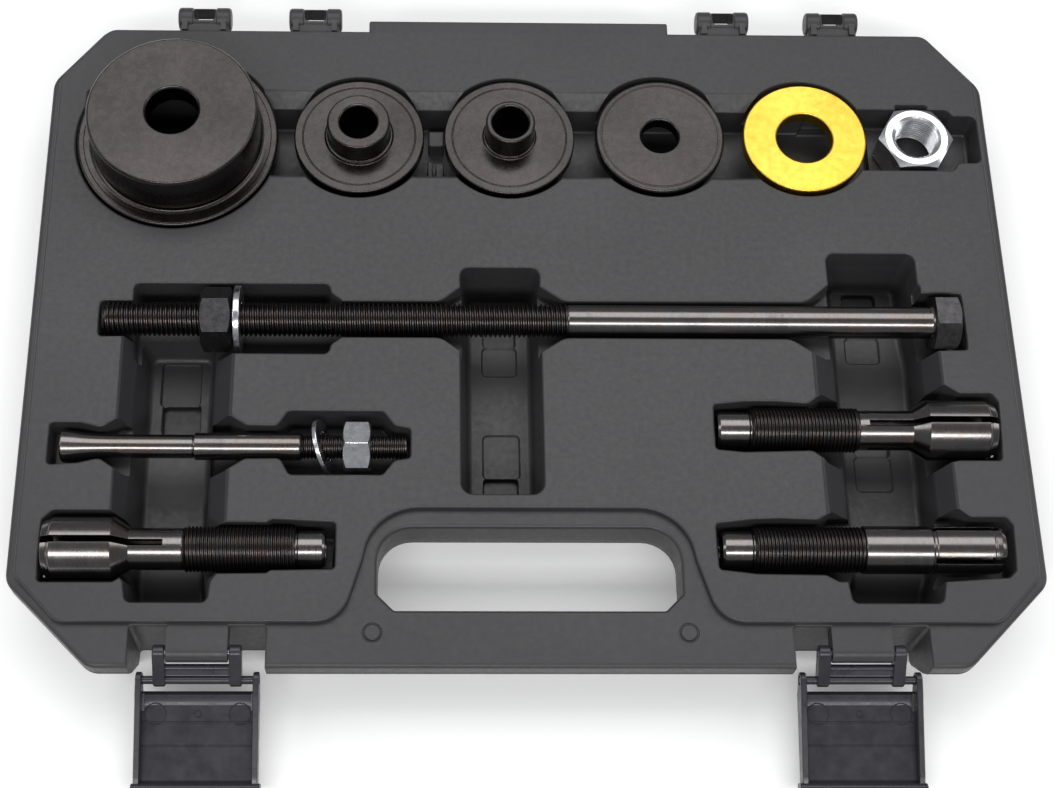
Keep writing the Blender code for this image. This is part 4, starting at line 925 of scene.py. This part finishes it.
collet("collet_large_a", -106.2,
       [(-191.8, 8.6), (-191.8, 11.3), (-189.4, 12.2), (-188.8, 12.25), (-188.6, 12.55), (-188.2, 12.8), (-164.4, 12.8), (-157.8, 8.4), (-137.2, 8.4), (-136.6, 8.1), (-136.0, 8.1),
        (-93.0, 8.1), (-92.4, 7.0), (-91.8, 7.0), (-91.4, 7.3), (-82.0, 7.3), (-80.8, 6.6)],
       [(-80.8, 5.6), (-190.0, 5.6), (-191.8, 7.2)], -144.4, -191.8, (-136.6, -92.6), 9.2, 1.5, 0.0, None)
collet("collet_large_b", -54.2,
       [(77.8, 6.6), (79.0, 7.3), (90.6, 7.3), (91.0, 7.0), (91.6, 7.0), (92.2, 8.1), (134.8, 8.1), (135.6, 8.1), (136.2, 8.2), (157.4, 8.2), (163.6, 12.5), (188.0, 12.5),
        (188.4, 12.3), (188.6, 12.0), (189.0, 12.0), (191.6, 11.0), (191.6, 8.6)],
       [(191.6, 7.2), (189.8, 5.6), (77.8, 5.6)], 139.6, 191.6, (91.6, 135.8), 9.2, 1.5, 0.0, None)
collet("collet_small", -106.0,
       [(76.6, 6.6), (77.8, 7.3), (88.4, 7.3), (88.8, 7.0), (89.4, 7.0), (90.0, 8.1), (132.2, 8.1), (132.8, 8.1), (133.4, 9.6), (160.0, 9.6), (160.4, 9.1), (161.4, 9.1), (161.8, 9.6),
        (184.4, 9.6), (184.7, 9.35), (185.1, 9.35), (185.4, 9.6), (187.6, 9.5), (189.2, 8.6)],
       [(189.2, 7.0), (187.6, 5.6), (76.6, 5.6)], 160.8, 189.2, (89.4, 133.2), 9.2, 1.5, math.radians(45), None)

# ======================================================================= stage, light, camera
floor_bm = bmesh.new()
bmesh.ops.create_grid(floor_bm, x_segments=2, y_segments=2, size=4.0)
floor = obj_from("stage_floor", floor_bm)
fm = bpy.data.materials.new("paper")
fm.use_nodes = True
fb = fm.node_tree.nodes["Principled BSDF"]
fb.inputs["Base Color"].default_value = (0.93, 0.93, 0.93, 1)
fb.inputs["Roughness"].default_value = 0.9
floor.data.materials.append(fm)
fb.inputs["Emission Color"].default_value = (1, 1, 1, 1)
fb.inputs["Emission Strength"].default_value = 0.18
floor.location = (0, 0, min(0.0, cad_box[0][2]) - 0.0002)


def area(name, pos, target, size, size_y, power, colour=(1, 1, 1)):
    d = bpy.data.lights.new(name, "AREA")
    d.shape, d.size, d.size_y, d.energy, d.color = "RECTANGLE", size, size_y, power, colour
    o = bpy.data.objects.new(name, d)
    bpy.context.scene.collection.objects.link(o)
    o.location = pos
    o.rotation_euler = (Vector(target) - Vector(pos)).to_track_quat("-Z", "Y").to_euler()
    return o


area("key_front", (-0.05, -1.02, 1.22), (0, 0, 0), 1.5, 0.26, 12.5)
area("top_rear", (0.0, 0.62, 1.42), (0, 0, 0), 1.7, 1.0, 11.5)
area("side_left", (-1.3, 0.0, 0.9), (0, 0, 0), 0.4, 1.2, 3.5)
area("side_right", (1.3, 0.1, 0.9), (0, 0, 0), 0.4, 1.2, 3.5)
world = bpy.data.worlds.new("studio")
world.use_nodes = True
world.node_tree.nodes["Background"].inputs["Color"].default_value = (0.95, 0.97, 1.0, 1)
world.node_tree.nodes["Background"].inputs["Strength"].default_value = 0.22
bpy.context.scene.world = world
bpy.context.scene.view_settings.view_transform = "Standard"

e, yaw, roll = 1.15506, 0.05564, 0.05499
fw = Vector((math.sin(yaw) * math.cos(e), math.cos(yaw) * math.cos(e), -math.sin(e)))
rt = Vector((math.cos(yaw), -math.sin(yaw), 0))
up = rt.cross(fw)
right = rt * math.cos(roll) + up * math.sin(roll)
upv = up * math.cos(roll) - rt * math.sin(roll)
cam_data = bpy.data.cameras.new("camera")
cam = bpy.data.objects.new("camera", cam_data)
bpy.context.scene.collection.objects.link(cam)
m = Matrix((right, upv, -fw)).transposed().to_4x4()
m.translation = Vector((-0.04339, -0.34576, 0.69178 + H * MM))
cam.matrix_world = m
cam_data.sensor_width = 36
cam_data.lens = 1846.944 * 36 / 1054
cam_data.shift_x = (527 - 462) / 1054
cam_data.clip_start = 0.01
bpy.context.scene.camera = cam
